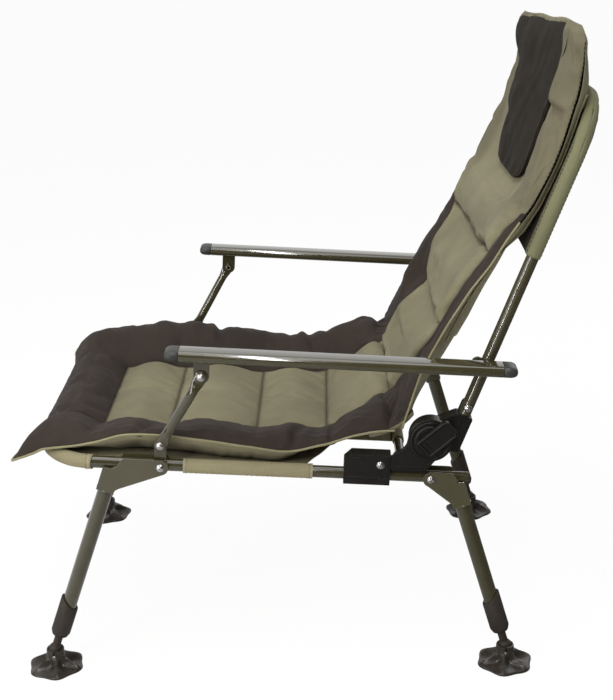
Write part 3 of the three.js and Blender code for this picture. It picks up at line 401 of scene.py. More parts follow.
def rectangle(y, z):
    """The corners between two places along Y and two along Z."""
    return [(y[0], z[0]), (y[1], z[0]), (y[1], z[1]), (y[0], z[1])]


def swept(path, radii, up=(0, 0, 1), sides=28, caps=True):
    """A tube along a path; radii are one number, or pairs across and along the up direction."""
    path = np.asarray(path, float)
    tangent = np.gradient(path, axis=0)
    tangent /= np.linalg.norm(tangent, axis=1)[:, None]
    if up is None:
        across = [np.cross(tangent[0], UNALIGNED)]
        for t in tangent[1:]:
            across.append(across[-1] - t * (across[-1] @ t))
        across = np.array(across)
    else:
        across = np.cross(tangent, np.array(up, float))
    across /= np.linalg.norm(across, axis=1)[:, None]
    over = np.cross(across, tangent)
    radii = np.asarray(radii, float)
    if radii.ndim < 2:
        radii = np.broadcast_to(radii.reshape(-1, 1), (len(path), 2))
    angles = np.arange(sides) * 2 * math.pi / sides
    rings = (
        path[:, None]
        + across[:, None] * (radii[:, :1] * np.cos(angles))[..., None]
        + over[:, None] * (radii[:, 1:] * np.sin(angles))[..., None]
    )
    return rings_shape(rings, caps=caps)


# Points closer than this are one, and shorter edges are dropped; in metres
SAME_POINT, NO_EDGE = 1e-6, 1e-7


def make(name, shapes, finish, at, body, replaces=(), bevel=0.0, sharp=38):
    """One object from shapes drawn in a frame; it rides on a body and stands for CAD nodes."""
    points, faces = [], []
    for shape_points, shape_faces in shapes:
        first = len(points)
        points += [at @ Vector(p) for p in shape_points]
        faces += [[first + i for i in face] for face in shape_faces]
    mesh = bpy.data.meshes.new(name)
    mesh.from_pydata(points, [], faces)
    shape = bmesh.new()
    shape.from_mesh(mesh)
    bmesh.ops.remove_doubles(shape, verts=shape.verts, dist=SAME_POINT)
    bmesh.ops.dissolve_degenerate(shape, edges=shape.edges, dist=NO_EDGE)
    bmesh.ops.recalc_face_normals(shape, faces=shape.faces)
    shape.to_mesh(mesh)
    shape.free()
    mesh.polygons.foreach_set("use_smooth", [True] * len(mesh.polygons))
    mesh.set_sharp_from_angle(angle=math.radians(sharp))
    piece = bpy.data.objects.new(name, mesh)
    bpy.context.scene.collection.objects.link(piece)
    mesh.materials.append(finish)
    if bevel:
        edge = piece.modifiers.new("edges", "BEVEL")
        edge.width, edge.segments, edge.harden_normals = bevel * MM, 3, True
        edge.limit_method, edge.angle_limit = "ANGLE", math.radians(sharp)
    if body:
        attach(piece, body)
    if replaces:
        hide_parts(*([replaces] if isinstance(replaces, str) else replaces))
    return piece


def bolt_head(spec, y, z, face, thin=1.2):
    """A button head with a socket, on a washer, standing on a face that looks along X."""
    r, h = spec.head, spec.rise
    key = 0.36 * r
    washer = [(0, -0.1), (r, -0.1), (r, thin * 0.7), (0.93 * r, thin), (0, thin)]
    head = [(0, thin * 0.6), (0.9 * r, thin * 0.6)]
    for a in np.linspace(0, 1.1, 6):
        head.append((0.9 * (r * math.cos(a)), thin + (h - thin) * math.sin(a)))
    head += [(key, h), (key, h * 0.5), (0, h * 0.45)]
    return [spun(washer, (face, y, z), "X"), spun(head, (face, y, z), "X")]


# Seat frame, cross bar and the plugs in the open tube ends
def seat_tubes():
    ends = ((-1, rail.rear), (-1, rail.front), (1, rail.front), (1, rail.rear))
    path = route([(side * rail.reach, y, 0) for side, y in ends], rail.bend)
    shapes = [swept(path, rail.radius, sides=36)]
    half = lug.width / 2
    outline = [(lug.along - half, rail.radius * 0.8), (lug.along + half, rail.radius * 0.8)]
    outline += arc(lug.along, lug.above, half, 0, 180, 16)
    for side in SIDES.values():
        x = side * (rail.reach + lug.offset)
        shapes.append(plate(outline, x - lug.plate / 2, x + lug.plate / 2))
        places = np.linspace(lug.along - half - 1, lug.along + half + 1, weld.steps)
        bead = [[weld.radius + weld.wobble * math.sin(5 * i)] * 2 for i in range(weld.steps)]
        shapes.append(swept([(x, y, rail.radius * weld.height_share) for y in places], bead, sides=10))
    make("seat_tubes", shapes, PAINT, SEAT, "seat", "seat_frame", bevel=0.7)


def cross_tube():
    end = rail.reach - rail.radius - TOUCH
    bar = [swept([(x, cross_bar.along, 0) for x in (-end, 0, end)], cross_bar.radius)]
    r = cross_bar.radius
    for side in SIDES.values():
        fillet = [(r - 1, -2.2), (r + 1.6, 0), (r - 1, 2.2)]
        bar.append(spun(fillet, (side * (end - 1), cross_bar.along, 0), "X"))
    make("rear_cross_tube", bar, PAINT, SEAT, "seat", "rear_cross_bar")


def tube_plugs():
    face, r = rail.rear + TOUCH, rail.radius
    profile = [
        (r - 2, face - 10), (r - 2, face - 0.5), (r, face), (r, face + 1), (r - 0.8, face + 2.3),
        (r - 3, face + plug.flange), (2.2, face + plug.flange), (1.4, face + 2.2), (0, face + 2.2),
    ]
    for name in SIDES:
        make(name + "_tube_plug", [spun(profile, (rail.reach, 0, 0), "Y")], CAP_PLASTIC,
             mirrored(SEAT, name), "seat", name + "_rail_plug")


seat_tubes()
cross_tube()
tube_plugs()


# Hinges
def rounded(points, radius, steps=4):
    """The outline with each corner rounded."""
    made = []
    count = len(points)
    for i in range(count):
        before, here, after = (np.array(points[(i + k) % count], float) for k in (-1, 0, 1))
        a, b = before - here, after - here
        reach = min(radius, 0.45 * np.linalg.norm(a), 0.45 * np.linalg.norm(b))
        a, b = here + a / np.linalg.norm(a) * reach, here + b / np.linalg.norm(b) * reach
        for t in np.linspace(0, 1, steps + 1):
            made.append(tuple((1 - t) ** 2 * a + 2 * t * (1 - t) * here + t * t * b))
    return made


def hinge_base_shapes():
    """The block on the rail, the cheek that rises to the hub, a rib on it and the round cover."""
    start = saddle.start + saddle.length + TOUCH
    end = start + base.length
    x = rail.reach
    block = [
        (start, base.lift), (end, base.lift), (end, base.top - hub.step),
        (end - hub.step, base.top), (start, base.top),
    ]
    sweep_radius = hub.along - hub.radius - start + TOUCH
    wall = [(start, base.skirt), (end, base.skirt)]
    wall += arc(hub.along, hub.above, hub.radius, -75, 180, 40)
    wall += arc(start - TOUCH, hub.above, sweep_radius, -20, -78, 16) + [(start, saddle.top)]
    out = x + base.cheek_out
    disc = hub.radius - hub.step
    cover = [
        (0, x + base.cheek_in), (disc, x + base.cheek_in), (disc, out - 1.2), (disc - 1.2, out),
        (disc - 3, out), (disc - 3.6, out - 1.4), (disc - 8, out - 1.4), (disc - 9, out - 0.2),
        (0, out - 0.2),
    ]
    rib = rectangle((start + 6, end - 6), (base.skirt + 5, base.skirt + 7.5))
    return [
        plate(block, x - base.inner, x + base.cheek_in + 1),
        plate(wall, x + base.cheek_in, out - hub.step),
        plate(rib, out - hub.step - 0.5, out - hub.step + 1.1),
        spun(cover, (0, hub.along, hub.above), "X", 64),
    ]


def hinge_arm_shapes():
    """The disc at the hub, the socket that grips the backrest tube, its tongue and its lip."""
    x, tube = rail.reach, rail.reach - back.inset
    outer = back.radius + TOUCH + arm.wall
    inside = tube - outer
    ahead, behind = back.behind - outer, back.behind + outer
    r = hub.arm_radius
    low, high = x - arm.inner, x + arm.outer
    disc = [(0, low), (r - 1.5, low), (r, low + 1.5), (r, high - 1), (r - 1, high), (0, high)]
    bridge = [(0, -r / 2), (behind, -arm.bottom), (behind, arm.top), (ahead, arm.top), (0, r - hub.step)]
    shoulder = arm.top - arm.wall
    tongue = [(back.behind - back.radius, shoulder), (back.behind + back.radius, shoulder)]
    tongue += arc(back.behind, arm.tongue - back.radius, back.radius, 0, 180, 16)
    lip = rectangle((ahead, behind), (arm.top - 6, arm.top - 3))
    return [
        spun(disc, (0, 0, 0), "X", 56),
        plate(rounded(bridge, 4), inside, tube + outer),
        plate(tongue, inside, inside + arm.wall - TOUCH),
        plate(rounded(lip, 1), tube + outer - 0.4, tube + outer + 1),
    ]


def lever_shapes():
    """A flat paddle with a rounded tip, a dished face and a slot across its heel."""
    x = rail.reach + base.cheek_out + lever.gap
    half, top = lever.width / 2, lever.length - lever.heel
    t = lever.thickness

    def layer(inset, height):
        corner = lever.corner - inset
        outline = [(-half + inset, inset - lever.heel), (half - inset, inset - lever.heel)]
        outline += arc(half - lever.corner, top - lever.corner, corner, 0, 90, 8)
        outline += arc(lever.corner - half, top - lever.corner, corner, 90, 180, 8)
        return [(x + height, y, z) for y, z in outline]

    levels = ((0.8, 0), (0, 0.8), (0, t - 1.6), (0.5, t - 0.5), (1.6, t), (3.0, t), (3.8, t - 1.6))
    skin = rings_shape([layer(inset, height) for inset, height in levels])
    slot = rounded(rectangle((-half / 2, half / 2), (-9, -5)), 1.5)
    return [skin, plate(slot, x + t - 1.9, x + t - 0.6)]


def saddle_shapes():
    """The clip's block, the raised panel on its face and the line where its halves meet."""
    start, end = saddle.start, saddle.start + saddle.length
    middle = start + saddle.length / 2
    outside = rail.reach + saddle.outer
    outline = [
        (start, -saddle.bottom), (end, -saddle.bottom), (end, saddle.top),
        (start + saddle.chamfer, saddle.top), (start, saddle.top - saddle.chamfer),
    ]
    panel = [(y + (4 if y < middle else -3), z + (4 if z < 0 else -4)) for y, z in outline]
    line = rectangle((start + 4, end - 1), (-1, 0.4))
    return [
        plate(outline, rail.reach - saddle.inner, outside - 0.6),
        plate(rounded(panel, 3), outside - 1, outside),
        plate(line, outside - 0.5, outside + 0.3),
    ]


def add_hinges():
    x, tube = rail.reach, rail.reach - back.inset
    for name in SIDES:
        seat, behind = mirrored(SEAT, name), mirrored(BACK, name)
        make(name + "_saddle_block", saddle_shapes(), PLASTIC, seat, "seat", name + "_saddle_clip",
             bevel=1.6)
        head = bolt_head(saddle_bolt, saddle_bolt.along, saddle_bolt.above, x + saddle.outer)
        make(name + "_saddle_bolt", head, STEEL, seat, "seat")
        make(name + "_hinge_body", hinge_base_shapes(), PLASTIC, seat, "seat", name + "_hinge_base",
             bevel=1.4)
        make(name + "_hinge_socket", hinge_arm_shapes(), PLASTIC, behind, "back", name + "_hinge_arm",
             bevel=1.2)
        head = bolt_head(arm_bolt, back.behind, arm_bolt.along, tube + back.radius + TOUCH)
        nut_at = (tube - back.radius - arm.wall - 4, back.behind, arm_bolt.along)
        nut = spun([(0, 0), (4, 0), (4, 3), (0, 3)], nut_at, "X", 6)
        make(name + "_socket_bolt", head + [nut], STEEL, behind, "back", name + "_arm_bolt")
        face, end = tube - back.radius - 2 * TOUCH - arm.wall, x + base.cheek_out
        pin = [
            (0, face - hub.step), (6, face - hub.step), (8, face - 1.8), (8, face - 0.4),
            (hub.bolt, face), (hub.bolt, end), (0, end),
        ]
        make(name + "_hub_pin", [spun(pin, (0, hub.along, hub.above), "X")], STEEL, seat, "seat",
             name + "_hub_bolt")
        make(name + "_lever_paddle", lever_shapes(), PLASTIC, behind @ about_x(-LEVER_TURN),
             name + "_lever", name + "_release_lever", bevel=0.5)


add_hinges()


# Backrest frame with its armrest pins
def back_tubes():
    x = rail.reach - back.inset
    corners = ((-x, back.start), (-x, back.top), (x, back.top), (x, back.start))
    path = route([(across, back.behind, z) for across, z in corners], back.bend)
    shapes = [swept(path, back.radius, up=(0, 1, 0), sides=36)]
    y, low = back.behind - rear_pin.ahead, rear_pin.along - rear_pin.drop
    outline = [(back.behind, low - rear_pin.edge), (back.behind, rear_pin.along + rear_pin.edge)]
    outline += arc(y, rear_pin.along, rear_pin.edge, 90, 225) + [(back.behind - rear_pin.edge, low)]
    inside = rail.reach + rest.offset - rest.width / 2 + rest.wall + rear_pin.plate
    from_x = rail.reach - rear_pin.plate_in
    for side in SIDES.values():
        start, end = side * from_x, side * inside
        shapes.append(plate(outline, start, side * (from_x + rear_pin.plate)))
        pin = [(0, start), (rear_pin.radius, start), (rear_pin.radius, end), (0, end)]
        shapes.append(spun(pin, (0, y, rear_pin.along), "X", 24))
    make("backrest_tubes", shapes, PAINT, BACK, "back", "backrest_frame", bevel=0.7)


back_tubes()


# Armrests and their struts
def oval(width, height, inset=0.0, steps=12):
    radius, flat = height / 2 - inset, (width - height) / 2
    return arc(flat, 0, radius, -90, 90, steps) + arc(-flat, 0, radius, 90, 270, steps)


def oval_bar(stations):
    """Flat-oval rings along Y: pairs of place and inset."""
    x = rail.reach + rest.offset
    rings = []
    for y, inset in stations:
        rings.append([(x + a, y, b) for a, b in oval(rest.width, rest.height, inset)])
    return rings_shape(rings)


def tab_shape(point, top):
    """The plate under the armrest that the strut is bolted to."""
    half, x = tab.width / 2, rail.reach + tab.offset
    outline = [(point.y + half, top), (point.y - half, top)]
    outline += arc(point.y, point.z, half, 180, 360, 20)
    return plate(outline, x - tab.plate / 2, x + tab.plate / 2)


def strut_shapes(length):
    """A tube with a jog whose ends are pressed flat."""
    f = strut.flat
    ends = ((strut.lower, -strut.radius), (strut.lower, 2.5 * f),
            (strut.upper, length - 2.5 * f), (strut.upper, length + strut.radius))
    path = route([(x, 0, z) for x, z in ends], 1.6 * f, 10)
    run = run_of(path)
    tube, flat = strut.radius * 0.8, strut.plate / 2
    places, radii = [], []
    for s in np.linspace(0, run[-1], 60):
        places.append(point_at(s, run, path))
        from_end = min(s, run[-1] - s)
        round_end = math.sqrt(max(0.0, 1 - max(0.0, 1 - from_end / strut.radius) ** 2))
        press = ease((from_end - 2 * strut.radius) / 16)
        across = (flat + (tube - flat) * press) * max(0.35, round_end)
        over = (strut.radius + (tube - strut.radius) * press) * max(0.02, round_end)
        radii.append((across, over))
    return [swept(np.array(places) + (rail.reach, 0, 0), radii, up=(0, 1, 0), sides=24)]


def cap_stations(end, mouth):
    """Places and insets of a rounded cap, from the armrest tube's mouth to its end."""
    outward = 1 if end > mouth else -1
    first = mouth + outward * TOUCH
    stations = [(first, 0.8), (first + outward * 0.8, 0)]
    for t in np.linspace(0.3, 1, 9):
        place = first + outward * (rest.cap - TOUCH) * math.sin(t * math.pi / 2)
        stations.append((place, 6.4 * (1 - math.cos((t - 0.3) / 0.7 * math.pi / 2))))
    return stations


def strut_fixing(z, x, inner):
    """The bolt through one end of the strut, with its nut."""
    face = rail.reach + x + strut.plate / 2 + TOUCH
    nut_at = rail.reach + inner - TOUCH - strut_bolt.nut
    nut = [(0, 0), (5, 0), (5.6, 0.6), (5.6, 3.2), (5, 3.9), (0, 3.9)]
    reach = face - nut_at
    shank = [(0, 0), (strut_bolt.radius, 0), (strut_bolt.radius, reach), (0, reach)]
    return bolt_head(strut_bolt, 0, z, face) + [
        spun(nut, (nut_at, 0, z), "X", 6),
        spun(shank, (nut_at, 0, z), "X", 16),
    ]


def add_armrests():
    tab_point = REST.inverted() @ (low_at + (pin_at - hub_at))
    length = link.length
    mouth_front, mouth_rear = rest.cap - rest.front, rest.rear - rest.cap
    for name in SIDES:
        top, prop, body = mirrored(REST, name), mirrored(STRUT, name), name + "_armrest_body"
        shapes = [oval_bar([(mouth_front, 0), (mouth_rear, 0)]), tab_shape(tab_point, -rest.height / 2 + 1)]
        make(name + "_armrest_tube", shapes, PAINT, top, body, name + "_armrest", bevel=0.5)
        for cap, end, mouth in (("front", -rest.front, mouth_front), ("rear", rest.rear, mouth_rear)):
            make(f"{name}_{cap}_cap", [oval_bar(cap_stations(end, mouth))], CAP_PLASTIC, top, body,
                 f"{name}_armrest_{cap}_cap", sharp=50)
        make(name + "_strut_tube", strut_shapes(length), PAINT, prop, name + "_strut_body",
             name + "_strut", sharp=60)
        for part, z, x, inner in (
            ("lower", 0, strut.lower, lug.offset - lug.plate / 2),
            ("upper", length, strut.upper, tab.offset - tab.plate / 2),
        ):
            make(f"{name}_strut_{part}_fixing", strut_fixing(z, x, inner), STEEL, prop,
                 name + "_strut_body", f"{name}_strut_{part}_bolt")


add_armrests()


# Legs: bracket, tube, sleeve, extension and mud foot
def leg_length(leg):
    knee = SEAT @ Vector((0, leg.pivot + leg.away * leg.reach, -rail.radius))
    upright = leg.lean - PITCH if leg.away > 0 else leg.lean + PITCH
    return (knee.z / MM - foot.height) / math.cos(math.radians(upright))


def bracket_shapes(leg):
    """Two cheeks, the web that joins them and the socket round the leg."""
    inner = leg_tube.radius + TOUCH
    outer = inner + cheek.thickness
    lean = math.radians(leg.lean)
    along = np.array((math.sin(lean), -math.cos(lean)))
    across = np.array((math.cos(lean), math.sin(lean)))
    knee = np.array((leg.reach, -rail.radius))

    def at(down, out):
        return tuple(knee + along * down + across * out)

    low = at(cheek.socket - cheek.notch, -outer)
    wall = arc(0, 0, cheek.radius, 90, 250, 24)
    edge = wall[-1]
    wall += [low, at(cheek.socket, -outer), at(cheek.socket, outer), at(-cheek.notch / 2, outer)]
    wall += [(leg.reach, -cheek.notch / 2), (leg.top + cheek.radius, 0)]
    wall += arc(leg.top, cheek.radius - 7, 7, 40, 90, 6)
    slope = (low[1] - edge[1]) / (low[0] - edge[0])
    start = (cheek.web, edge[1] + slope * (cheek.web - edge[0]))
    lift = cheek.thickness
    web = [start, low, (low[0] + 1, low[1] + lift), (start[0], start[1] + lift)]
    shapes = [plate(wall, inner, outer), plate(wall, -outer, -inner), plate(web, 1 - outer, outer - 1)]
    # The socket is cut square to the rail above and has a rolled lower rim
    rim = outer + 0.9
    profile = (
        (inner, None), (outer, None), (outer, cheek.socket - 1.5), (rim, cheek.socket - 0.9),
        (rim, cheek.socket), (inner, cheek.socket),
    )
    rings = []
    for radius, down in profile:
        ring = []
        for a in np.arange(40) * 2 * math.pi / 40:
            z = -(math.tan(lean) * outer * math.sin(a)) - 1 if down is None else -down
            ring.append((radius * math.cos(a), *(knee + across * (radius * math.sin(a)) + along * (-z))))
        rings.append(ring)
    return shapes + [rings_shape(rings, closed=True)]


# The foot's profile: the share of its radius, the height and how deep the flutes are there
FOOT_PROFILE_SHARES = (
    (0.86, 0, 1), (0.97, 0, 1), (1, 1.4, 1), (1, 3.4, 1), (0.965, 5.4, 1.1), (0.88, 8.4, 1.4),
    (0.76, 11.8, 1.8), (0.64, 15, 2), (0.53, 17.6, 1.8), (0.44, 19.6, 1.2), (0.37, 21.2, 0.5),
    (0.325, 22.6, 0.1), (0.312, 23, 0), (0.312, 33.6, 0), (0.3, 35.2, 0), (0.26, 35.5, 0),
    (0.235, 34, 0), (0.22, 26, 0),
)
COLLAR_SHARE = 0.312
FLUTES, FLUTES_TURNED = 6, 0.2


def foot_shape():
    """A fluted rubber cone: rounded scallops at its rim, sharp ridges higher up."""
    angles = np.arange(120) * 2 * math.pi / 120
    turned = angles + FLUTES_TURNED
    ridged = np.abs(np.sin(FLUTES / 2 * turned)) ** 0.8
    scalloped = 0.5 * (1 - np.cos(FLUTES * turned))
    rings = []
    for share, z, depth in FOOT_PROFILE_SHARES:
        high = float(ease((z - 2) / 8))
        bite = ridged * high + scalloped * (1 - high)
        r = foot.radius * share * (1 - (0.1 + 0.12 * high) * depth * bite)
        lifted = z - foot.height - depth * 2.6 * bite * high
        rings.append(np.stack((r * np.cos(angles), r * np.sin(angles), lifted), 1))
    return rings_shape(rings)


def cut_tube(profile, sides, top_at):
    """Pairs of radius and height round Z. A height of None follows the cut at the top."""
    rings = []
    for radius, z in profile:
        angles = np.arange(sides) * 2 * math.pi / sides
        heights = [top_at(a, radius) if z is None else z for a in angles]
        rings.append([(radius * math.cos(a), radius * math.sin(a), h) for a, h in zip(angles, heights)])
    return rings_shape(rings, closed=True)


def leg_bolt_shapes():
    """The pivot bolt's head, the washers beside the rail and the nut."""
    inner = leg_tube.radius + TOUCH
    face = inner + cheek.thickness + TOUCH
    shapes = bolt_head(leg_bolt, 0, 0, face)
    for start, end in ((rail.radius + TOUCH, inner - TOUCH), (-inner + TOUCH, -rail.radius - TOUCH)):
        ring = [(2, start), (leg_bolt.washer, start), (leg_bolt.washer, end), (2, end)]
        shapes.append(spun(ring, (0, 0, 0), "X", 24))
    nut = [
        (0, -face), (5, -face), (5.4, -face - 0.6), (5.4, -face - 2.8), (4.6, -face - 3.4),
        (0, -face - 3.4),
    ]
    return shapes + [spun(nut, (0, 0, 0), "X", 6)]


def leg_tube_shape(leg, length):
    lean = math.radians(leg.lean)

    def top_at(angle, radius):
        return -math.tan(lean) * radius * math.sin(angle) - 2 * TOUCH

    end, bore = -(length - sleeve.foot - 4), leg_tube.radius - leg_tube.wall
    return cut_tube(((leg_tube.radius, None), (leg_tube.radius, end), (bore, end), (bore, None)), 36, top_at)


def leg_sleeve_shape(low):
    """The sleeve at the tube's lower end, with a rounded foot and a tongue that rises at the front."""
    inner = leg_tube.radius + TOUCH
    outer, throat, high = inner + sleeve.wall, leg_tube.radius - leg_tube.wall, low + sleeve.length

    def top_at(angle, radius):
        return high + sleeve.tongue * math.sin(angle) - (1.2 if radius == outer else 0)

    profile = (
        (throat, low), (outer - 4.5, low), (outer - 2.6, low + 1.4), (outer - 0.7, low + 6.5),
        (outer, low + 8), (outer, None), (outer - 0.7, None), (inner + 0.1, None),
        (inner + 0.1, low + 4), (throat, low + 4),
    )
    return cut_tube(profile, 48, top_at)


def leg_stem_shape(length, low):
    """The inner tube, its neck and the ball in the foot."""
    throat = leg_tube.radius - leg_tube.wall - TOUCH
    shoulder = low - TOUCH
    neck = math.asin(extension.neck / extension.ball)
    profile = []
    for a in np.linspace(0, math.pi - neck, 20):
        profile.append((extension.ball * math.sin(a), -length - extension.ball * math.cos(a)))
    profile += [
        (extension.neck, shoulder - 5), (extension.neck + 1, shoulder - 1.5), (throat, shoulder),
        (throat, shoulder + extension.length), (0, shoulder + extension.length),
    ]
    return spun(profile)


def add_foot(name, level):
    """The rubber foot with the screw, and a dark strip painted as the shade in the slot of its split collar.
    """
    body, r = name + "_mud_foot", COLLAR_SHARE * foot.radius
    make(name + "_mud_foot_rubber", [foot_shape()], RUBBER, level, body, name + "_foot",
         sharp=60)
    screw = spun([(0, 0), (3, 0), (3, 1.2), (2.2, 2.4), (0.8, 2.8), (0, 2.2)], (0, 0, 0), "X", 20)
    make(name + "_collar_screw", [screw], STEEL, level @ shift(r * math.cos(0.5), 0, -9), body)
    # Painted shade: a thin dark strip on the collar stands for the shade in its slot
    slot = rectangle((-foot.slot / 2, foot.slot / 2), (foot.dome - foot.height + 6, 1))
    make(name + "_collar_slot_shade", [plate(slot, r - 1.2, r + 0.25)], THREAD, level, body)


def add_leg(side, end, leg):
    name = f"{side}_{end}"
    body = name + "_leg"
    pivot = mirrored(SEAT, side) @ shift(rail.reach, leg.pivot, 0) @ Matrix.Diagonal((1, leg.away, 1, 1))
    shin = pivot @ shift(0, leg.reach, -rail.radius) @ about_x(leg.lean)
    length = leg_length(leg)
    low = -(length - sleeve.foot)
    make(name + "_bracket", bracket_shapes(leg), PLATE_PAINT, pivot, body, name + "_leg_bracket",
         bevel=0.55)
    make(name + "_pivot_bolt", leg_bolt_shapes(), STEEL, pivot, "seat", name + "_leg_bolt")
    make(name + "_tube", [leg_tube_shape(leg, length)], PAINT, shin, body, name + "_leg_tube")
    make(name + "_sleeve", [leg_sleeve_shape(low)], SLEEVE_PLASTIC, shin, body, name + "_leg_sleeve",
         bevel=0.4)
    make(name + "_stem", [leg_stem_shape(length, low)], SLEEVE_PLASTIC, shin, name + "_extension",
         name + "_leg_extension")
    turn = PITCH - leg.lean if leg.away > 0 else -PITCH - leg.lean
    add_foot(name, shin @ shift(0, 0, -length) @ about_x(turn))


def add_legs():
    for side in SIDES:
        for end, leg in legs.items():
            add_leg(side, end, leg)


add_legs()


# Padding. A station is: place along the pad, then heights of the piped seam at the side,
# the raised edge, the middle of the face and the middle of the underside, all as shares.
SEAT_STATIONS = (
    (0, -0.1, -0.07, -0.07, -0.13),
    (0.02, -0.05, 0.16, 0.12, -0.06),
    (0.054, 0.035, 0.32, 0.24, 0.1),
    (0.083, 0.13, 0.4, 0.27, 0.16),
    (0.146, 0.19, 0.5, 0.24, 0.06),
    (0.206, 0.27, 0.55, 0.06, -0.065),
    (0.297, 0.44, 0.66, 0.18, -0.18),
    (0.387, 0.46, 0.7, 0.1, -0.2),
    (0.506, 0.4, 0.64, 0.18, -0.22),
    (0.625, 0.32, 0.57, 0.09, -0.22),
    (0.722, 0.27, 0.56, 0.18, -0.21),
    (0.817, 0.42, 0.68, 0.15, -0.17),
    (0.908, 0.62, 0.88, 0.52, 0.08),
    (0.967, 0.7, 0.95, 0.84, 0.45),
    (1, 0.72, 0.8, 0.8, 0.72),
)
BACK_STATIONS = (
    (0, -0.44, -0.48, -0.5, -0.42),
    (0.03, -0.45, -0.62, -0.6, -0.24),
    (0.137, -0.4, -0.6, -0.52, -0.06),
    (0.241, -0.32, -0.52, -0.26, 0.06),
    (0.342, -0.2, -0.43, -0.33, 0.11),
    (0.446, -0.02, -0.28, -0.13, 0.17),
    (0.533, 0.06, -0.2, -0.2, 0.2),
    (0.62, 0.08, -0.15, 0.0, 0.23),
    (0.746, 0.08, -0.13, -0.05, 0.233),
    (0.86, 0.05, -0.16, -0.07, 0.222),
    (0.92, -0.04, -0.26, -0.15, 0.13),
    (0.974, -0.16, -0.33, -0.26, 0.0),
    (1, -0.25, -0.3, -0.28, -0.22),
)
SOFTNESS = 0.8


def heights_at(stations, share):
    """The four heights at places along a pad, on a smooth curve through the stations."""
    table = np.array(stations)
    share = np.atleast_1d(np.asarray(share, float))
    last = len(table) - 1
    i = np.clip(np.searchsorted(table[:, 0], share, side="left") - 1, 0, last - 1)
    local = ((share - table[i, 0]) / (table[i + 1, 0] - table[i, 0]))[:, None]
    p, q, r, s = (table[np.clip(i + k, 0, last), 1:] for k in (-1, 0, 1, 2))
    first, second = (r - p) / 2 * SOFTNESS, (s - q) / 2 * SOFTNESS
    t2, t3 = local**2, local**3
    between = q * (2 * t3 - 3 * t2 + 1) + r * (3 * t2 - 2 * t3)
    return between + first * (t3 - 2 * t2 + local) + second * (t3 - t2)


def under_at(seam, under, across):
    return seam + (under - seam) * np.sqrt(1 - np.abs(across) ** 3)


LOW_32_BITS = 0xFFFFFFFF


def scatter(points, seed):
    """Smooth noise from -1 to 1 on a plane lattice, from a hash of each lattice corner."""
    cell = np.floor(points).astype(np.int64)
    part = points - cell
    part = part * part * (3 - 2 * part)

    def value(dx, dy):
        key = (cell[..., 0] + dx) * 374761393 + (cell[..., 1] + dy) * 668265263 + seed * 1442695041
        key = key & LOW_32_BITS
        key = ((key ^ (key >> 13)) * 1274126177) & LOW_32_BITS
        key = ((key ^ (key >> 16)) * 2246822519) & LOW_32_BITS
        return (key & 0xFFFFFF) / 0x7FFFFF - 1

    low = value(0, 0) * (1 - part[..., 0]) + value(1, 0) * part[..., 0]
    high = value(0, 1) * (1 - part[..., 0]) + value(1, 1) * part[..., 0]
    return low * (1 - part[..., 1]) + high * part[..., 1]


def folds(along, across, length, spacing, seed):
    """Wrinkles that run along one direction, some of them sharp."""
    soft = scatter(np.stack((along / length, across / spacing), -1), seed)
    fine = scatter(np.stack((along / length * 1.7, across / spacing * 2.1), -1), seed + 7)
    return 0.7 * soft + 0.4 * (0.5 - np.abs(fine)) * 2


def near(value, centre, reach):
    """One at the centre, falling smoothly to zero at the reach."""
    return ease(1 - np.abs(value - centre) / reach)


FOLD_IN, FOLD_OUT = 0.5, 0.8
FACE_STEP = 6.0
SEAM_OFFSETS = (-5.0, -2.2, 0.0, 2.2, 5.0)
INNER_COLUMNS, OUTER_COLUMNS = 25, 18
LEAST_BORDER = 30
SEAM_SHADE = 2.4
# Folds fade over this share of the width at the sides, and over 1 / END_RISE of the length at the ends
FADE_SHARE, END_RISE = 0.08, 14


def surfaces(stations, pad, along, x, moved=0.0):
    """Heights of a pad's face, side seam and underside, at places along it and offsets across it."""
    share = np.clip((along - pad.start) / pad.length, 0, 1)
    seam, edge, face, under = (heights_at(stations, share) * pad.rise).T[..., None]
    seam = seam + moved * np.ones(x.shape)
    a = np.minimum(1, np.abs(x) / pad.reach)
    top = face + (edge - face) * ease((a - FOLD_IN) / (FOLD_OUT - FOLD_IN))
    drop = np.clip((a - FOLD_OUT) / (1 - FOLD_OUT), 0, 1)
    return seam + (top - seam) * np.sqrt(1 - drop * drop), seam, under_at(seam, under, a)


def spaced(start, end, marks):
    """Places about a step apart, with close ones at and beside each mark."""
    base = np.linspace(start, end, round((end - start) / FACE_STEP) + 1)
    clear = SEAM_OFFSETS[-1] + FACE_STEP / 2
    kept = [place for place in base if all(abs(place - mark) > clear for mark in marks)]
    return np.array(sorted(kept + [mark + offset for mark in marks for offset in SEAM_OFFSETS]))


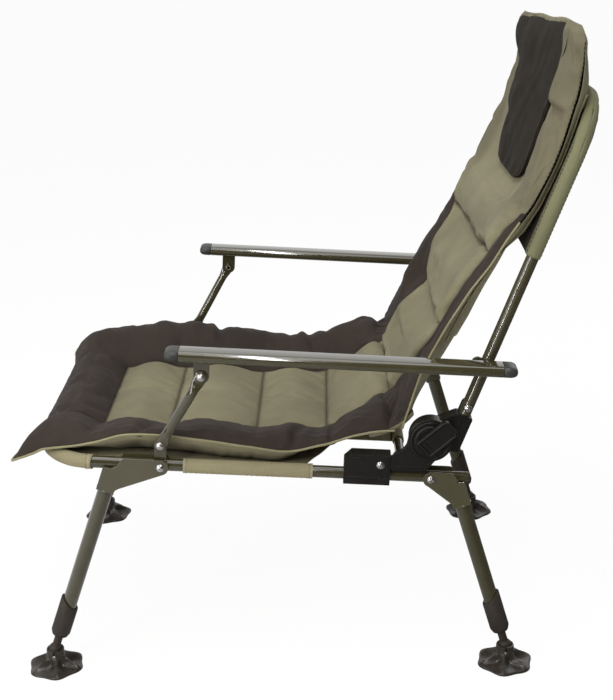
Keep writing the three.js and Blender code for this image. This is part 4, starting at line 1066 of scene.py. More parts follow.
class Pad:
    """A padded panel on a grid. Rows run along it and columns across it, with close ones at the seams."""

    def __init__(self, pad, stations, seams, field_x, field, moved):
        self.pad, self.stations = pad, stations
        self.along = spaced(pad.start, pad.start + pad.length, seams)
        self.share = (self.along - pad.start) / pad.length
        left, right = (self.half(field_x(self.along, side)) for side in (1, -1))
        self.x = np.concatenate((-right[:, :0:-1], left), axis=1)
        self.y = np.broadcast_to(self.along[:, None], self.x.shape)
        self.top, self.seam, self.under = surfaces(stations, pad, self.along, self.x, moved(self.x, self.y))
        self.border = field(self.x, self.y)
        # Painted shade: the cloth is darkened within a few millimetres of each seam
        rows = np.min([np.abs(self.y - seam) for seam in seams], axis=0)
        to_seam = np.where(self.border < 0, np.minimum(rows, -self.border), self.border)
        self.painted_shade = np.exp(-((to_seam / SEAM_SHADE) ** 2))
        out = np.abs(self.x) / pad.reach
        self.rim = (out > 0.999) | (self.share < 0.004)[:, None] | (self.share > 0.996)[:, None]
        self.inward = ease((1 - out) / FADE_SHARE) * ease(self.share * END_RISE)[:, None]
        self.inward *= ease((1 - self.share) * END_RISE)[:, None]

    def half(self, border):
        """Columns from the middle to one side, close together at the border's seam and at the edge."""
        border = np.minimum(border, self.pad.reach - LEAST_BORDER)[:, None]
        last = SEAM_OFFSETS[-1]
        inner = (border - last) * np.linspace(0, 1, INNER_COLUMNS)
        beside = border + np.array(SEAM_OFFSETS[1:])
        outward = np.sin(np.linspace(0, math.pi / 2, OUTER_COLUMNS + 1))[1:]
        outer = border + last + (self.pad.reach - border - last) * outward
        return np.concatenate((inner, beside, outer), axis=1)


SEAT_SEAMS = (88, 202, 352, 473)
SEAT_FIELD, SEAT_CREASE = 147, 584
SEAT_QUILT, BACK_QUILT = 6, 12
BACK_SEAMS = (158, 298)
BACK_FIELD, BORDER_END = 138, 380
ROW_REACH = 60


def seat_field_x(y, side):
    """Half the width of the khaki on the seat, which narrows a little into the crease."""
    return SEAT_FIELD - 14 * ease((y - 520) / 64)


def seat_field(x, y):
    return np.maximum(np.abs(x) - seat_field_x(y, 1), SEAT_SEAMS[0] - y)


def back_field_x(y, side):
    """Half the width of the khaki on the back: the left border is rolled narrow, the right one tapers."""
    left = BACK_FIELD + 92 * ease(y / 135) + 28 * np.clip(y / 340, 0, 1) ** 1.5 + 16 * ease((y - 330) / 45)
    right = BACK_FIELD - 4 + (back_pad.reach - BACK_FIELD + 4) * np.clip(y / BORDER_END, 0, 1) ** 2.9
    return np.where(np.asarray(side) > 0, left, right)


def back_edge_moved(x, y):
    """The left edge of the back pad stands forward beside the sitter and leans back at the head."""
    wing = -11 * ease(y / 100) * (1 - ease((y - 320) / 90))
    return (wing + 5 * near(y, 480, 110)) * (x > 0)


def seat_edge_moved(x, y):
    return 0.0 * x


def back_field(x, y):
    return np.where(y > BORDER_END, -1.0, np.abs(x) - back_field_x(y, x))


def groove(distance, depth, width):
    return depth * np.exp(-((np.abs(distance) / width) ** 1.3))


def quilted(y, seams, depth):
    """The swelling of the rows between stitched seams: full in the middle, steep beside a seam."""
    away = np.min([np.abs(y - seam) for seam in seams], axis=0)
    return depth * (1 - np.clip(1 - away / ROW_REACH, 0, 1) ** 3.6 - 0.4)


SWELL_FRAMES = 20


def swell(top, pins, at, growth, pressure, cap, flip):
    """A cloth simulation of a face under pressure. Pinned points stay, and none moves past the cap."""
    rows, columns = top.shape[:2]
    mesh = bpy.data.meshes.new("swell")
    points = [at @ Vector(p) for p in top.reshape(-1, 3)]
    faces = [quad[::-1] if flip else quad for quad in grid_faces(rows, columns)]
    mesh.from_pydata(points, [], faces)
    cloth_object = bpy.data.objects.new("swell", mesh)
    bpy.context.scene.collection.objects.link(cloth_object)
    group = cloth_object.vertex_groups.new(name="pin")
    for i, weight in enumerate(pins.reshape(-1)):
        if weight > 0.01:
            group.add([i], float(weight), "REPLACE")
    cloth = cloth_object.modifiers.new("cloth", "CLOTH")
    settings = cloth.settings
    settings.vertex_group_mass = "pin"
    settings.quality, settings.mass, settings.air_damping = 5, 0.25, 1.5
    settings.tension_stiffness = settings.compression_stiffness = 12
    settings.shear_stiffness, settings.bending_stiffness = 5, 0.25
    settings.use_pressure, settings.uniform_pressure_force = True, pressure
    settings.shrink_min = -growth
    settings.effector_weights.gravity = 0
    scene = bpy.context.scene
    for number in range(1, SWELL_FRAMES + 1):
        scene.frame_set(number)
    seen = cloth_object.evaluated_get(bpy.context.evaluated_depsgraph_get())
    moved = np.array([v.co for v in seen.data.vertices])
    scene.frame_set(1)
    bpy.data.objects.remove(cloth_object)
    start = np.array(points)
    step = moved - start
    length = np.linalg.norm(step, axis=1)[:, None]
    step *= np.minimum(1, cap * MM / np.maximum(length, 1e-9))
    back_to = np.array(at.inverted())
    local = (start + step) @ back_to[:3, :3].T + back_to[:3, 3]
    return local.reshape(top.shape)


# A border value that is just above zero, so that a pad's rim is dark
BARELY_DARK = 0.01


def pad_object(name, border, top, under, at, body, replaces, finish, painted_shade=None, under_painted_shade=0.0):
    """One closed mesh from a pad's face and underside, which share their side columns."""
    rows, columns = top.shape[:2]
    rim = np.zeros((rows, columns), bool)
    rim[[0, -1]] = rim[:, [0, -1]] = True
    face_border = np.where(rim & (border > 0), BARELY_DARK, border)
    under_border = np.where(rim & (border > 0), BARELY_DARK, -1.0)
    points = np.concatenate((top.reshape(-1, 3), under.reshape(-1, 3)))
    low = rows * columns
    faces = []
    for i in range(rows - 1):
        for k in range(columns - 1):
            a = i * columns + k
            faces.append((a, a + 1, a + columns + 1, a + columns))
            faces.append((low + a, low + a + columns, low + a + columns + 1, low + a + 1))
    for i in (0, rows - 1):
        for k in range(columns - 1):
            a = i * columns + k
            faces.append((a, low + a, low + a + 1, a + 1))
    mesh = bpy.data.meshes.new(name)
    mesh.from_pydata([at @ Vector(p) for p in points], [], faces)
    values = np.concatenate((face_border.reshape(-1), under_border.reshape(-1))).astype(np.float32)
    mesh.attributes.new("border", "FLOAT", "POINT").data.foreach_set("value", values)
    # Painted shade for the face and for the underside, as a second attribute
    if painted_shade is not None:
        below = np.broadcast_to(under_painted_shade, border.shape)
        values = np.concatenate((painted_shade.reshape(-1), below.reshape(-1))).astype(np.float32)
        mesh.attributes.new("painted_shade", "FLOAT", "POINT").data.foreach_set("value", values)
    shape = bmesh.new()
    shape.from_mesh(mesh)
    bmesh.ops.remove_doubles(shape, verts=shape.verts, dist=2e-5)
    bmesh.ops.recalc_face_normals(shape, faces=shape.faces)
    shape.to_mesh(mesh)
    shape.free()
    mesh.polygons.foreach_set("use_smooth", [True] * len(mesh.polygons))
    mesh.materials.append(finish)
    piece = bpy.data.objects.new(name, mesh)
    bpy.context.scene.collection.objects.link(piece)
    smooth = piece.modifiers.new("smooth", "SUBSURF")
    smooth.levels = smooth.render_levels = 1
    if body:
        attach(piece, body)
    if replaces:
        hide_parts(replaces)
    return piece


# Tucks in the seat's border: place along the pad, width and side
SEAT_TUCKS = ((172, 15, 1), (424, 13, 1), (486, 17, 1), (262, 15, -1), (440, 18, -1))


def seat_mattress():
    pad = Pad(seat_pad, SEAT_STATIONS, SEAT_SEAMS, seat_field_x, seat_field, seat_edge_moved)
    x, y, border, reach = pad.x, pad.y, pad.border, seat_pad.reach
    inside = border < 0
    outside = ease(border / 12)
    full_within = 25 + 45 * (x < 0)
    height = pad.top + quilted(y, SEAT_SEAMS, SEAT_QUILT) * ease(-border / full_within) * (y > SEAT_SEAMS[0])
    height -= groove(border, 4, 5) * (y < SEAT_CREASE)
    for seam in SEAT_SEAMS[1:]:
        height -= groove(y - seam, 3.5, 3) * inside
    # The front roll stands over its seam, and the near border lies flatter than the far one
    height += 7 * near(y, 60, 34) * ease((SEAT_FIELD + 25 - np.abs(x)) / 40)
    field_edge = np.full((len(pad.along), 1), SEAT_FIELD)
    boundary = surfaces(SEAT_STATIONS, seat_pad, pad.along, field_edge)[0]
    over = np.maximum(height - boundary - 1 - 0.28 * (x - SEAT_FIELD), 0) * (x > SEAT_FIELD)
    height -= over * ease((y + 30) / 80) * ease((reach + 2 - x) / 20)
    # Long soft folds run across the border, some tucks cut into it, and the corners pucker
    height += 3.4 * folds(x, y, 150, 30, 3) * outside * pad.inward
    height += 2.8 * folds(x + 0.7 * y, y - 0.5 * x, 90, 22, 9) * outside * pad.inward
    for place, width, side in SEAT_TUCKS:
        tuck = 7 * near(y + 0.16 * (np.abs(x) - 230), place, width) - 4 * near(y, place - 16, 16)
        height -= tuck * ease((np.abs(x) - 165) / 50) * (np.sign(x) == side)
    corner = np.hypot(np.abs(x) - reach, y - SEAT_CREASE)
    angle = np.arctan2(reach + 12 - np.abs(x), SEAT_CREASE + 30 - y) * 60
    puckers = 5 * folds(corner, angle + 40 * np.sign(x), 110, 10, 5)
    height += puckers * near(corner, 20, 135) * outside * pad.inward
    height += 0.7 * scatter(np.stack((x / 46, y / 46), -1), 11)
    seams = (np.abs(border) < 0.5) & (y < SEAT_CREASE)
    for seam in SEAT_SEAMS[1:]:
        seams |= (np.abs(y - seam) < 0.5) & inside
    top = np.stack((x, y, height), -1)
    top = swell(top, np.where(pad.rim | seams, 1.0, 0.0), SEAT, 0.02, 1.2, 5, False)
    # The front edge is drawn in between its corners, and the near rear corner lifts clear of the rail
    drawn_in = 22 * ease((reach - x) / 110) - 12 * ease((-x - 160) / 100)
    drawn_in = drawn_in * (1 - ease(pad.share / 0.16))[:, None]
    lifted = pad.seam - 0.31 * (reach - np.abs(x))
    rear = ease((y - 395) / 50)
    under = pad.under + (np.maximum(pad.under, lifted) - pad.under) * rear
    under = np.minimum(under, top[..., 2] - 3 * pad.inward)
    across_folds = folds(x, y, 90, 42, 51)
    crumpled = 1.8 * folds(y, x, 120, 40, 21) - 3 + 5 * across_folds
    crumpled = crumpled * ease((reach - np.abs(x)) / 8) * ease(pad.share * END_RISE)[:, None]
    under = under + crumpled * (1 - rear)
    under = np.stack((x, y, under), -1)
    under[pad.rim] = top[pad.rim] * (1, 1, 0) + under[pad.rim] * (0, 0, 1)
    for skin in (top, under):
        skin[..., 1] += drawn_in
    # Painted shade: the underside is painted darker than the face, most in its folds, and the face beside
    # its seams
    painted_underside_shade = np.clip(0.3 + 0.3 * across_folds, 0, 0.75) * ease((reach - np.abs(x)) / 5)
    piece = pad_object("seat_pad", border, top, under, SEAT, "seat", "seat_mattress", PAD_CLOTH,
                       pad.painted_shade * (y < SEAT_CREASE - 30), painted_underside_shade)
    return pad, piece, drawn_in


def back_mattress():
    pad = Pad(back_pad, BACK_STATIONS, BACK_SEAMS, back_field_x, back_field, back_edge_moved)
    x, y, border, reach = pad.x, pad.y, pad.border, back_pad.reach
    inside = border < 0
    outside = ease(border / 12)
    field = ease(-border / 18) * ease((BORDER_END + 60 - y) / 90)
    height = pad.top - quilted(y, BACK_SEAMS, BACK_QUILT) * field
    # Each row hangs over the seam below it
    for seam in BACK_SEAMS:
        height -= 7 * ease((y - seam) / 6) * ease((seam + 56 - y) / 50) * field
    height += groove(border, 5, 5) * ease((BORDER_END - y) / 40)
    for seam in BACK_SEAMS:
        height += groove(y - seam, 7, 4) * inside * ease((-border - 2) / 26)
    # Gathers where the border ends, slack folds beside the pillow, puckers at the lower corners
    gather = near(y, 372, 70) * ease((np.abs(x) - 190) / 60)
    height += 5 * folds(x - 0.4 * y, y, 90, 20, 13) * gather * pad.inward
    slack = ease((y - 400) / 60) * ease((np.abs(x) - 150) / 50)
    height += 6 * folds(y, x, 110, 26, 17) * slack * pad.inward
    height += 3 * folds(x + 0.8 * y, y - 0.6 * x, 110, 30, 27) * near(y, 400, 130) * pad.inward
    height += 3 * folds(y, x, 120, 30, 15) * outside * pad.inward
    # The strip beside the pillow folds over itself, and stands proud of the pillow's near edge
    strip = ease((x - 175) / 35)
    height -= 9 * ease((y - 549) / 5) * ease((640 - y) / 70) * strip * pad.inward
    height += 5 * near(y, 538, 22) * strip * pad.inward
    height -= 6 * ease((y - 450) / 50) * strip * ease((268 - x) / 22)
    corner = np.hypot(np.abs(x) - reach, y + 10)
    angle = np.arctan2(y + 30, reach - np.abs(x) + 30) * 60
    height += 4.5 * folds(corner, angle, 90, 10, 19) * near(corner, 20, 125) * (border > 0) * pad.inward
    height += 0.7 * scatter(np.stack((x / 46, y / 46), -1), 23)
    seams = (np.abs(border) < 0.5) & (y < BORDER_END - 15)
    for seam in BACK_SEAMS:
        seams |= (np.abs(y - seam) < 0.5) & inside
    top = np.stack((x, height, y), -1)
    top = swell(top, np.where(pad.rim | seams, 1.0, 0.0), BACK, 0.022, 1.4, 6, True)
    puffed = 8 * near(np.abs(x) / reach, 0.93, 0.12) * ease((y - 300) / 60) * ease((650 - y) / 60)
    thin = 9 * near(x / reach, 0.9, 0.2) * ease(y / 60) * ease((350 - y) / 60)
    edge_folds = 1.8 * folds(x, y, 60, 22, 39) * ease((np.abs(x) - 225) / 20)
    under = pad.under + puffed - thin + (1.2 * folds(y, x, 120, 40, 29) + edge_folds) * pad.inward
    under = np.maximum(under, top[..., 1] + 3 * pad.inward)
    under = np.stack((x, under, y), -1)
    under[pad.rim] = top[pad.rim] * (1, 0, 1) + under[pad.rim] * (0, 1, 0)
    for skin in (top, under):
        skin[..., 0] *= cornered(y)
        skin[..., 2] -= top_droop(x, y) + skewed(x, y)
    # Painted shade: the strips beside the pillow are painted darker than the rows, as is the cloth beside
    # the seams
    painted_strip_shade = 0.42 * ease((np.abs(x) - 165) / 40) * ease((y - 330) / 80)
    painted_shade = pad.painted_shade * ease((BORDER_END - y) / 50) * ease((y - 12) / 20)
    piece = pad_object("back_pad", border, top, under, BACK, "back", "back_mattress", PAD_CLOTH,
                       np.maximum(painted_shade, painted_strip_shade))
    return pad, piece, under


def skewed(x, y):
    """How far the rows sit below their places in the pattern, less on the chair's left."""
    return (14 - 24 * ease((x - 60) / 170)) * ease(y / 90) * ease((470 - y) / 130)


def cornered(y):
    """How the back pad narrows at its rounded top corners."""
    end, radius = back_pad.start + back_pad.length, 26
    up = np.clip((y - end + radius) / radius, 0, 1)
    return 1 - radius / back_pad.reach * (1 - np.sqrt(1 - up * up))


def top_droop(x, y):
    """The top edge sags towards the chair's right, with a dip beside the middle."""
    sag = 22 * ease((100 - x) / 380) + 6 * near(x, 20, 130)
    return sag * ease((y - 500) / 170)


seat_grid, seat_piece, front_drawn_in = seat_mattress()
back_grid, back_piece, back_under = back_mattress()


# Piping and stitching along the pads' seams
STITCH = Sizes(pitch=7.0, length=4.6, radius=0.75)


def side_seam(sign):
    """The piped side of the back pad, where the pad's own corners, droop and slant have moved it."""
    x = sign * seat_pad.reach
    points = []
    for up, out in zip(back_grid.along, back_grid.seam[:, 0 if sign < 0 else -1]):
        points.append((x * float(cornered(up)), out, up - float(top_droop(x, up) + skewed(x, up))))
    return points


def seat_rim():
    """The piped sides and front of the seat pad, tucked in at its front corners."""
    reach, along, seam = seat_pad.reach, seat_grid.along, seat_grid.seam[:, 0]

    def side(x, column):
        return [(x, y + moved, z) for y, z, moved in zip(along, seam, front_drawn_in[:, column])]

    front = []
    for x, moved in zip(seat_grid.x[0, ::-1], front_drawn_in[0, ::-1]):
        tucked = 4 * float(ease((reach - 25 - abs(x)) / 30))
        front.append((x, along[0] + moved + tucked, seam[0] - tucked))
    return side(reach, -1)[::-1] + front[2:-2] + side(-reach, 0)


def piping():
    shape = [swept(seat_rim(), 2.1, up=None, sides=10)]
    seat_cord = make("seat_piping", shape, PIPING, SEAT, "seat", sharp=80)
    sides = {sign: side_seam(sign) for sign in SIDES.values()}
    shapes = []
    for path in sides.values():
        shapes.append(swept([p for p in path if p[2] < BORDER_END - 4], 1.9, up=None, sides=10))
    back_cord = make("back_piping", shapes, PIPING, BACK, "back", sharp=80)
    dashes = []
    top = back_pad.start + back_pad.length - 14
    for sign, path in sides.items():
        dashes += stitches([(x + sign * 0.2, y - 0.5, z) for x, y, z in path if BORDER_END - 18 < z < top])
    thread = make("back_stitching", dashes, THREAD, BACK, "back", sharp=80)
    return seat_cord, back_cord, thread


def stitches(path):
    """Short dashes of thread along a path."""
    path = np.array(path, float)
    run = run_of(path)
    dashes = []
    for start in np.arange(0, run[-1] - STITCH.length, STITCH.pitch):
        places = (start, start + STITCH.length / 2, start + STITCH.length)
        dashes.append(swept([point_at(s, run, path) for s in places], STITCH.radius, up=None, sides=6))
    return dashes


seat_cord, back_cord, back_thread = piping()


# Head pillow
def head_pillow():
    rows, columns = 60, 70
    up = 1 - np.cos(np.linspace(0, math.pi / 2, rows))
    along = pillow.start + (pillow.top - pillow.start) * up
    across = np.sin(np.linspace(-math.pi / 2, math.pi / 2, columns))
    bulge = np.sqrt(np.clip(1 - np.clip(1 - up * 4.2, 0, 1) ** 2.2, 0.03, 1))
    reach = pillow.reach * (0.45 + 0.55 * bulge) * (1 + 0.42 * ease((up - 0.55) / 0.45))
    x = across[None] * reach[:, None] + 22 * (1 - ease(up / 0.8))[:, None]
    y = np.broadcast_to(along[:, None], x.shape)
    # Above the strip's fold it reaches further out on both sides
    x = x + 34 * ease((y - 546) / 10) * ease(across / 0.7) * ease((680 - y) / 60)
    x = x - 26 * ease((y - 480) / 90) * ease(-across / 0.7)
    base = surfaces(BACK_STATIONS, back_pad, along, x)[0]
    fading = bulge * (1 - 0.8 * ease((up - 0.8) / 0.2))
    crown = np.clip(1 - np.abs(across) ** 3, 0, 1)[None] ** 0.6 * fading[:, None]
    full = 14 + 9 * ease(-across / 0.5) * ease((y - 470) / 90)
    height = base - 1 - full * crown * (1 - 0.6 * ease(across / 0.9))
    slack = 4 * folds(y + 0.5 * x, x - 0.4 * y, 260, 80, 31) + 3.5 * folds(x, y, 170, 90, 33)
    height = height + slack * crown
    height += 7 * near(y + 0.25 * x, 556, 16) * ease((x - 50) / 80) * crown
    rim = np.zeros(x.shape)
    rim[[0, -1]] = rim[:, [0, -1]] = 1
    height = np.where(rim > 0, base + 2, height)
    top = swell(np.stack((x, height, y), -1), rim, BACK, 0.015, 0.8, 4, True)
    under = np.stack((x, base + 5, y), -1)
    under[rim > 0] = top[rim > 0]
    for skin in (top, under):
        skin[..., 2] -= top_droop(x, y)
    piece = pad_object("pillow_panel", np.full(x.shape, -1.0), top, under, BACK, "back", "head_pillow",
                       PILLOW_CLOTH)
    return piece


pillow_piece = head_pillow()


# The gathered cloth in the crease, which runs from the seat's padding up to the backrest's
def crease_gathers():
    to_seat = SEAT.inverted() @ BACK
    rows, columns = 30, 170
    reach = seat_pad.reach - 1.5
    x = np.sin(np.linspace(-1.25, 1.25, columns)) / math.sin(1.25) * reach
    start, end = 536.0, 26.0
    low_z, low_seam, _ = surfaces(SEAT_STATIONS, seat_pad, np.array([start]), x[None])
    high_y, high_seam, _ = surfaces(BACK_STATIONS, back_pad, np.array([end]), x[None])
    out = ease((np.abs(x) - 185) / 85)
    low = low_z[0] + (low_seam[0] - low_z[0]) * out - 6 + 4 * out
    low = np.stack((x, np.full(columns, start), low), 1)
    high = high_y[0] + (high_seam[0] - high_y[0]) * out + 11 - 7 * out
    high = np.stack((x, high, np.full(columns, end)), 1)
    high = np.array([to_seat @ Vector(p) for p in high])
    corner = np.stack((x, np.full(columns, 574.0) + 9 * out, 88 - 14 * out), 1)
    s = np.linspace(0, 1, rows)[:, None, None]
    face = (1 - s) ** 2 * low + 2 * s * (1 - s) * corner + s**2 * high
    # Gathers fan out of the crease, deeper towards the sides
    s = s[..., 0]
    fan = folds(s * 60 + 0 * x, x * (0.65 + 0.5 * s), 240, 9, 37)
    depth = (1.6 + 4.2 * ease((np.abs(x) - 120) / 120)) * np.sin(math.pi * s)
    depth = depth * ease((reach - np.abs(x)) / 12)
    face[..., 2] += fan * depth
    face[..., 1] -= 0.6 * fan * depth
    sunk = (12 * (1 - ease((np.abs(x) - 112) / 36)) * np.sin(math.pi * s) ** 0.5)[..., None]
    face += sunk * (0, 0.75, -0.65)
    back_side = face + (0, 5, -7)
    rim = np.zeros((rows, columns), bool)
    rim[:, [0, -1]] = True
    back_side[rim] = face[rim]
    border = np.broadcast_to(np.abs(x) - (SEAT_FIELD - 14), (rows, columns))
    piece = pad_object("crease_gathers", border, face, back_side, SEAT, None, None, PAD_CLOTH)
    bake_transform(piece)


crease_gathers()

# Each soft piece gets a mesh of its own
for soft in (seat_piece, seat_cord):
    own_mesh(soft)
for soft in (back_piece, back_cord, back_thread, pillow_piece):
    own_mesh(soft)


# The slung seat cloth with its sleeves
FRONT_SLEEVE_END, SLING_WAIST = 88, 150
SLEEVE_LAYER = 1.1
SHEET_THICKNESS = 1.2
SLEEVE_RADIUS = rail.radius + TOUCH + SLEEVE_LAYER


def resampled(path, count):
    """The same path with evenly spaced points."""
    run = run_of(path)
    return np.stack([np.interp(np.linspace(0, run[-1], count), run, path[:, k]) for k in range(3)], 1)


def sleeve_hems():
    """A turned hem and its stitches at each open end of the sleeves."""
    hems, dashes = [], []
    sleeve_end = seat_cloth.sleeve_start + seat_cloth.sleeve_length
    ends = ((FRONT_SLEEVE_END, -1), (seat_cloth.sleeve_start, 1), (sleeve_end, -1))
    low, high, thread = SLEEVE_RADIUS - 0.6, SLEEVE_RADIUS + 0.9, SLEEVE_RADIUS + 1
    for sign in SIDES.values():
        for y, inward in ends:
            band = [(low, y), (high, y), (high, y + inward * 6), (low, y + inward * 6)]
            hems.append(spun(band, (sign * rail.reach, 0, 0), "Y", 36))
            for angle in np.arange(0, 2 * math.pi, 0.36):
                dash = []
                for a in (angle, angle + 0.1, angle + 0.2):
                    x = sign * rail.reach + thread * math.sin(a)
                    dash.append((x, y + inward * 5, thread * math.cos(a)))
                dashes.append(swept(dash, 0.45, up=None, sides=6))
    make("sleeve_hems", hems, HEM, SEAT, "seat", sharp=60)
    make("sleeve_stitching", dashes, THREAD, SEAT, "seat", sharp=60)


sleeve_hems()


def one_sheet(rows):
    """An open sheet over rows of points, without the faces that would close each row to a ring."""
    points, faces = rings_shape(rows, caps=False)
    columns = len(rows[0])
    return points, [f for f in faces if abs(f[0] % columns - f[1] % columns) == 1]


def thickened(piece, thickness):
    modifier = piece.modifiers.new("thickness", "SOLIDIFY")
    modifier.thickness, modifier.offset = thickness * MM, 0


def sling_panel():
    """The hanging panel, rounded at the front corners and drawn in behind the side sleeves."""
    start = rail.front + rail.radius + TOUCH
    end = cross_bar.along - cross_bar.radius - TOUCH
    inside = rail.bend - rail.radius - TOUCH
    across = np.linspace(-1, 1, 70)
    rows = []
    for y in np.linspace(start, end, 90):
        ahead = max(0, rail.front + rail.bend - y)
        waist = seat_cloth.reach + (SLING_WAIST - seat_cloth.reach) * float(ease((y - 430) / 60))
        reach = min(waist, rail.reach - rail.bend + math.sqrt(max(0, inside**2 - ahead**2)))
        share = min(1, (y - seat_pad.start) / seat_pad.length)
        seam, _, _, under = heights_at(SEAT_STATIONS, share)[0] * seat_pad.rise
        z = np.minimum(0, under_at(seam, under, across * reach / seat_pad.reach) - seat_cloth.lift) - 1
        rows.append(np.stack((across * reach, np.full(70, y), z), 1))
    return one_sheet(rows)


def sling_sleeves():
    """The side sleeves with the strips that join them to the panel, the front and the rear sleeve."""
    parts = []
    sleeve_end = seat_cloth.sleeve_start + seat_cloth.sleeve_length
    ys = np.linspace(seat_cloth.sleeve_start, sleeve_end, 50)
    for sign in SIDES.values():
        radii = []
        for y in ys:
            across, over = 0.35 * math.sin(y * 0.9), 0.3 * math.sin(y * 0.7 + 1)
            radii.append([SLEEVE_RADIUS + across, SLEEVE_RADIUS + over])
        parts.append(swept([(sign * rail.reach, y, 0) for y in ys], radii, caps=False))
        ends = sign * (seat_cloth.reach - 2), sign * (rail.reach - rail.radius)
        strip = np.array([[(x, y, -1) for x in ends] for y in ys]).reshape(-1, 3)
        parts.append((strip, [(2 * i, 2 * i + 1, 2 * i + 3, 2 * i + 2) for i in range(len(ys) - 1)]))
    corners = [(-rail.reach, FRONT_SLEEVE_END + 1, 0), (-rail.reach, rail.front, 0)]
    corners += [(-x, y, z) for x, y, z in corners[::-1]]
    path = resampled(route(corners, rail.bend), 150)
    radii = []
    for i in range(len(path)):
        radii.append([SLEEVE_RADIUS + 0.3 * math.sin(i * 0.9), SLEEVE_RADIUS + 0.3 * math.sin(i * 0.6)])
    parts.append(swept(path, radii, caps=False))
    rear = [(x, cross_bar.along, 0) for x in np.linspace(-SLING_WAIST, SLING_WAIST, 60)]
    parts.append(swept(rear, cross_bar.radius + TOUCH + SLEEVE_LAYER, caps=False))
    return parts


def seat_sling():
    parts = [sling_panel()] + sling_sleeves()
    piece = make("seat_sling", parts, LINING, SEAT, "seat", "seat_cloth", sharp=60)
    thickened(piece, SHEET_THICKNESS)


seat_sling()


LINING_LIFT = 1.8


def back_lining():
    """The lining lies against the pad's own underside, between the pad's rims."""
    across = np.abs(back_grid.x[0]) < 0.85 * back_pad.reach
    level = (back_grid.along > back_cloth.start + 1) & (back_grid.along < back_cloth.end - 1)
    rows = list(back_under[level][:, across] + (0, LINING_LIFT, 0))
    piece = make("back_lining", [one_sheet(rows)], LINING, BACK, "back", "back_cloth",
                 sharp=60)
    thickened(piece, SHEET_THICKNESS)


back_lining()


# Hood: a fabric pocket pulled over the top of the backrest frame
HOOD_ROWS, HOOD_COLUMNS = 57, 50


def hood_edges():
    """Rings that wrap the backrest tube from its outline inwards, for the front and for the rear."""
    half = back.radius + TOUCH + hood.wall / 2
    reach = rail.reach - back.inset + back.radius + TOUCH + hood.wall / 2
    top = back.top + back.radius + TOUCH + hood.wall / 2
    bend = back.bend + back.radius + hood.wall / 2

    def outline_at(depth):
        """Left leg upwards, round the top and down, moved in by a depth."""
        r, t, b = reach - depth, top - depth, bend - depth
        left = [(-r, z) for z in np.linspace(hood.start + 0.5, top - bend, 40)]
        for a in np.radians(np.linspace(180, 90, 18))[1:]:
            left.append((bend - reach + b * math.cos(a), top - bend + b * math.sin(a)))
        middle = [(x, t) for x in np.linspace(bend - reach, reach - bend, HOOD_COLUMNS)][1:-1]
        return np.array(left + middle + [(-x, z) for x, z in left[::-1]])

    turn = np.linspace(0, math.pi / 2, 8)
    depths = [half * (1 - math.cos(a)) for a in turn] + [half + 6, half + 16]
    rounds = [half * math.sin(a) for a in turn] + [half, half - 0.5]
    rings = {}
    for facing in (-1, 1):
        layer = []
        for depth, out in zip(depths, rounds):
            layer.append(np.insert(outline_at(depth), 1, back.behind + facing * out, axis=1))
        rings[facing] = np.array(layer)
    return rings


def hood_panel(rim, facing):
    """The slack cloth between the two legs of a rim, up to the rim's top."""
    rows = []
    t = np.linspace(0, 1, HOOD_COLUMNS)[:, None]
    for i in range(HOOD_ROWS - 1):
        row = rim[i] * (1 - t) + rim[-1 - i] * t
        slack = 4 * (t[:, 0] * (1 - t[:, 0])) * (1 - (i / HOOD_ROWS) ** 2)
        row[:, 1] -= facing * (3.0 * slack + 0.8 * slack * folds(row[:, 2], row[:, 0], 90, 45, 43 + facing))
        rows.append(row)
    rows.append(rim[HOOD_ROWS - 1 : len(rim) - HOOD_ROWS + 1])
    return np.array(rows).reshape(-1, 3), grid_faces(HOOD_ROWS, HOOD_COLUMNS)


def add_hood():
    """The pocket's wrapped edges and rear panel, its dark front panel, whose dark cloth also paints the
    shade inside the pocket, and the stitching.
    """
    pocket, front = [], []
    edges = hood_edges()
    for facing, layer in edges.items():
        puckered = layer.copy()
        x, z = layer[..., 0], layer[..., 2]
        pucker = near(np.hypot(np.abs(x) - 265, z - 560), 0, 70)
        puckered[..., 1] += facing * 2.6 * folds(z - 0.6 * x, x + 0.6 * z, 60, 13, 41) * pucker
        pocket.append((puckered.reshape(-1, 3), grid_faces(*puckered.shape[:2])))
        (pocket if facing > 0 else front).append(hood_panel(puckered[-1], facing))
    piece = make("hood_pocket", pocket, OLIVE_CLOTH, BACK, "back", "back_hood", sharp=70)
    thickened(piece, 1.0)
    # Dark cloth on the front panel, which also stands for the shade inside the pocket
    make("hood_front", front, DARK_CLOTH_AND_SHADE, BACK, "back", sharp=70)
    dashes = []
    for facing, layer in edges.items():
        dashes += stitches(resampled(layer[7] + (0, facing * 0.5, 0), 300))
    make("hood_stitching", dashes, THREAD, BACK, "back", sharp=80)


add_hood()


# Studio: a pale floor, a white backdrop and soft lamps
AMBIENT = 0.48
FLOOR_REACH = 30
# Each lamp's name, place and size in metres, and power in watts
LAMPS = (
    ("overhead", (0.4, -0.3, 2.6), (2.2, 2.2), 34),
    ("front_left", (1.6, -2.2, 1.6), (1.5, 1.5), 18),
    ("rear_right", (-1.8, 1.6, 2.0), (1.5, 1.5), 14),
    ("strip_upright", (2.3, -1.7, 1.3), (0.08, 2.2), 34),
    ("strip_level", (1.5, 0.0, 2.5), (0.1, 2.6), 28),
)


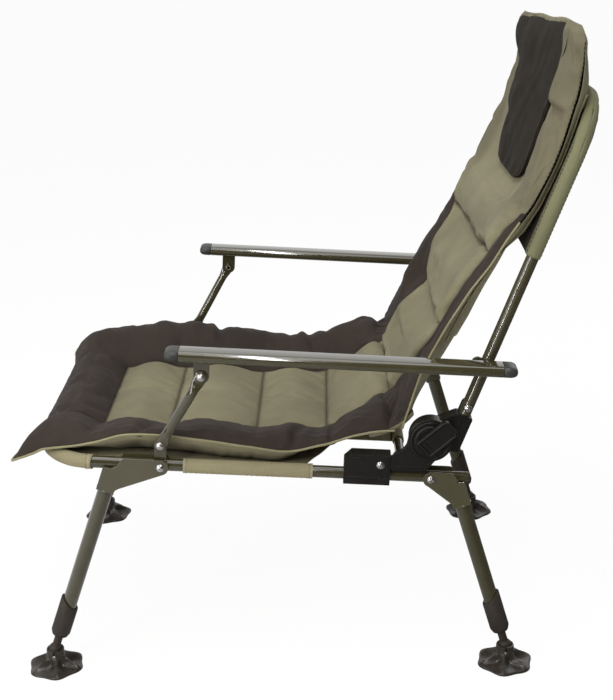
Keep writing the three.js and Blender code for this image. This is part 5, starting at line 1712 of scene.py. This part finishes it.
def studio():
    world = bpy.data.worlds.new("studio")
    bpy.context.scene.world = world
    world.use_nodes = True
    tree = world.node_tree
    path = tree.nodes.new("ShaderNodeLightPath")
    place = tree.nodes.new("ShaderNodeTexCoord")
    split = tree.nodes.new("ShaderNodeSeparateXYZ")
    tree.links.new(place.outputs["Generated"], split.inputs[0])
    # Polished pieces see the white sweep behind the chair and a dim room on the camera's side
    room = tree.nodes.new("ShaderNodeMapRange")
    tree.links.new(split.outputs["X"], room.inputs["Value"])
    for key, value in (("From Min", -0.4), ("From Max", 0.2), ("To Min", 0.9), ("To Max", 0.05)):
        room.inputs[key].default_value = value
    glossy = tree.nodes.new("ShaderNodeMix")
    glossy.inputs[2].default_value = AMBIENT
    tree.links.new(path.outputs["Is Glossy Ray"], glossy.inputs[0])
    tree.links.new(room.outputs[0], glossy.inputs[3])
    seen = tree.nodes.new("ShaderNodeMath")
    seen.operation = "MAXIMUM"
    tree.links.new(path.outputs["Is Camera Ray"], seen.inputs[0])
    tree.links.new(glossy.outputs[0], seen.inputs[1])
    through = tree.nodes.new("ShaderNodeMath")
    through.operation = "MAXIMUM"
    tree.links.new(path.outputs["Is Transmission Ray"], through.inputs[0])
    tree.links.new(seen.outputs[0], through.inputs[1])
    shine = tree.nodes["Background"]
    shine.inputs["Color"].default_value = (1, 1, 1, 1)
    tree.links.new(through.outputs[0], shine.inputs["Strength"])
    floor_mesh = bpy.data.meshes.new("floor")
    corners = [(x * FLOOR_REACH, y * FLOOR_REACH, 0) for x, y in ((-1, -1), (1, -1), (1, 1), (-1, 1))]
    floor_mesh.from_pydata(corners, [], [(0, 1, 2, 3)])
    floor = bpy.data.objects.new("floor", floor_mesh)
    bpy.context.scene.collection.objects.link(floor)
    ground = Finish("studio floor", Base_Color=colour("f4f4f2"), Roughness=0.9, Specular_IOR_Level=0.1)
    seen = ground.add("ShaderNodeLightPath")
    split = ground.add("ShaderNodeSeparateXYZ", Vector=ground.place)
    sides = ground.add("ShaderNodeMapRange", From_Min=-0.9, From_Max=0.5, To_Min=0.85, To_Max=0.04)
    ground.tree.links.new(split.outputs["Y"], sides.inputs["Value"])
    strength = ground.math("MAXIMUM", seen.outputs["Is Camera Ray"], sides.outputs[0])
    glow = ground.add("ShaderNodeEmission", Color=(1, 1, 1, 1), Strength=strength)
    mix = ground.add("ShaderNodeMixShader")
    both = ground.math("MAXIMUM", seen.outputs["Is Camera Ray"], seen.outputs["Is Glossy Ray"])
    both = ground.math("MAXIMUM", both, seen.outputs["Is Transmission Ray"])
    ground.tree.links.new(ground.math("MULTIPLY", both, 0.94), mix.inputs[0])
    ground.tree.links.new(ground.shader.outputs[0], mix.inputs[1])
    ground.tree.links.new(glow.outputs[0], mix.inputs[2])
    ground.tree.links.new(mix.outputs[0], ground.tree.nodes["Material Output"].inputs["Surface"])
    floor_mesh.materials.append(ground.material)
    for name, place, size, power in LAMPS:
        lamp = bpy.data.lights.new(name, "AREA")
        lamp.shape = "RECTANGLE"
        lamp.size, lamp.size_y, lamp.energy = *size, power
        held = bpy.data.objects.new(name, lamp)
        aim = (Vector((0, 0, 0.5)) - Vector(place)).to_track_quat("-Z", "Y")
        held.matrix_world = Matrix.Translation(place) @ aim.to_matrix().to_4x4()
        bpy.context.scene.collection.objects.link(held)
    bpy.context.scene.view_settings.view_transform = "Standard"


studio()
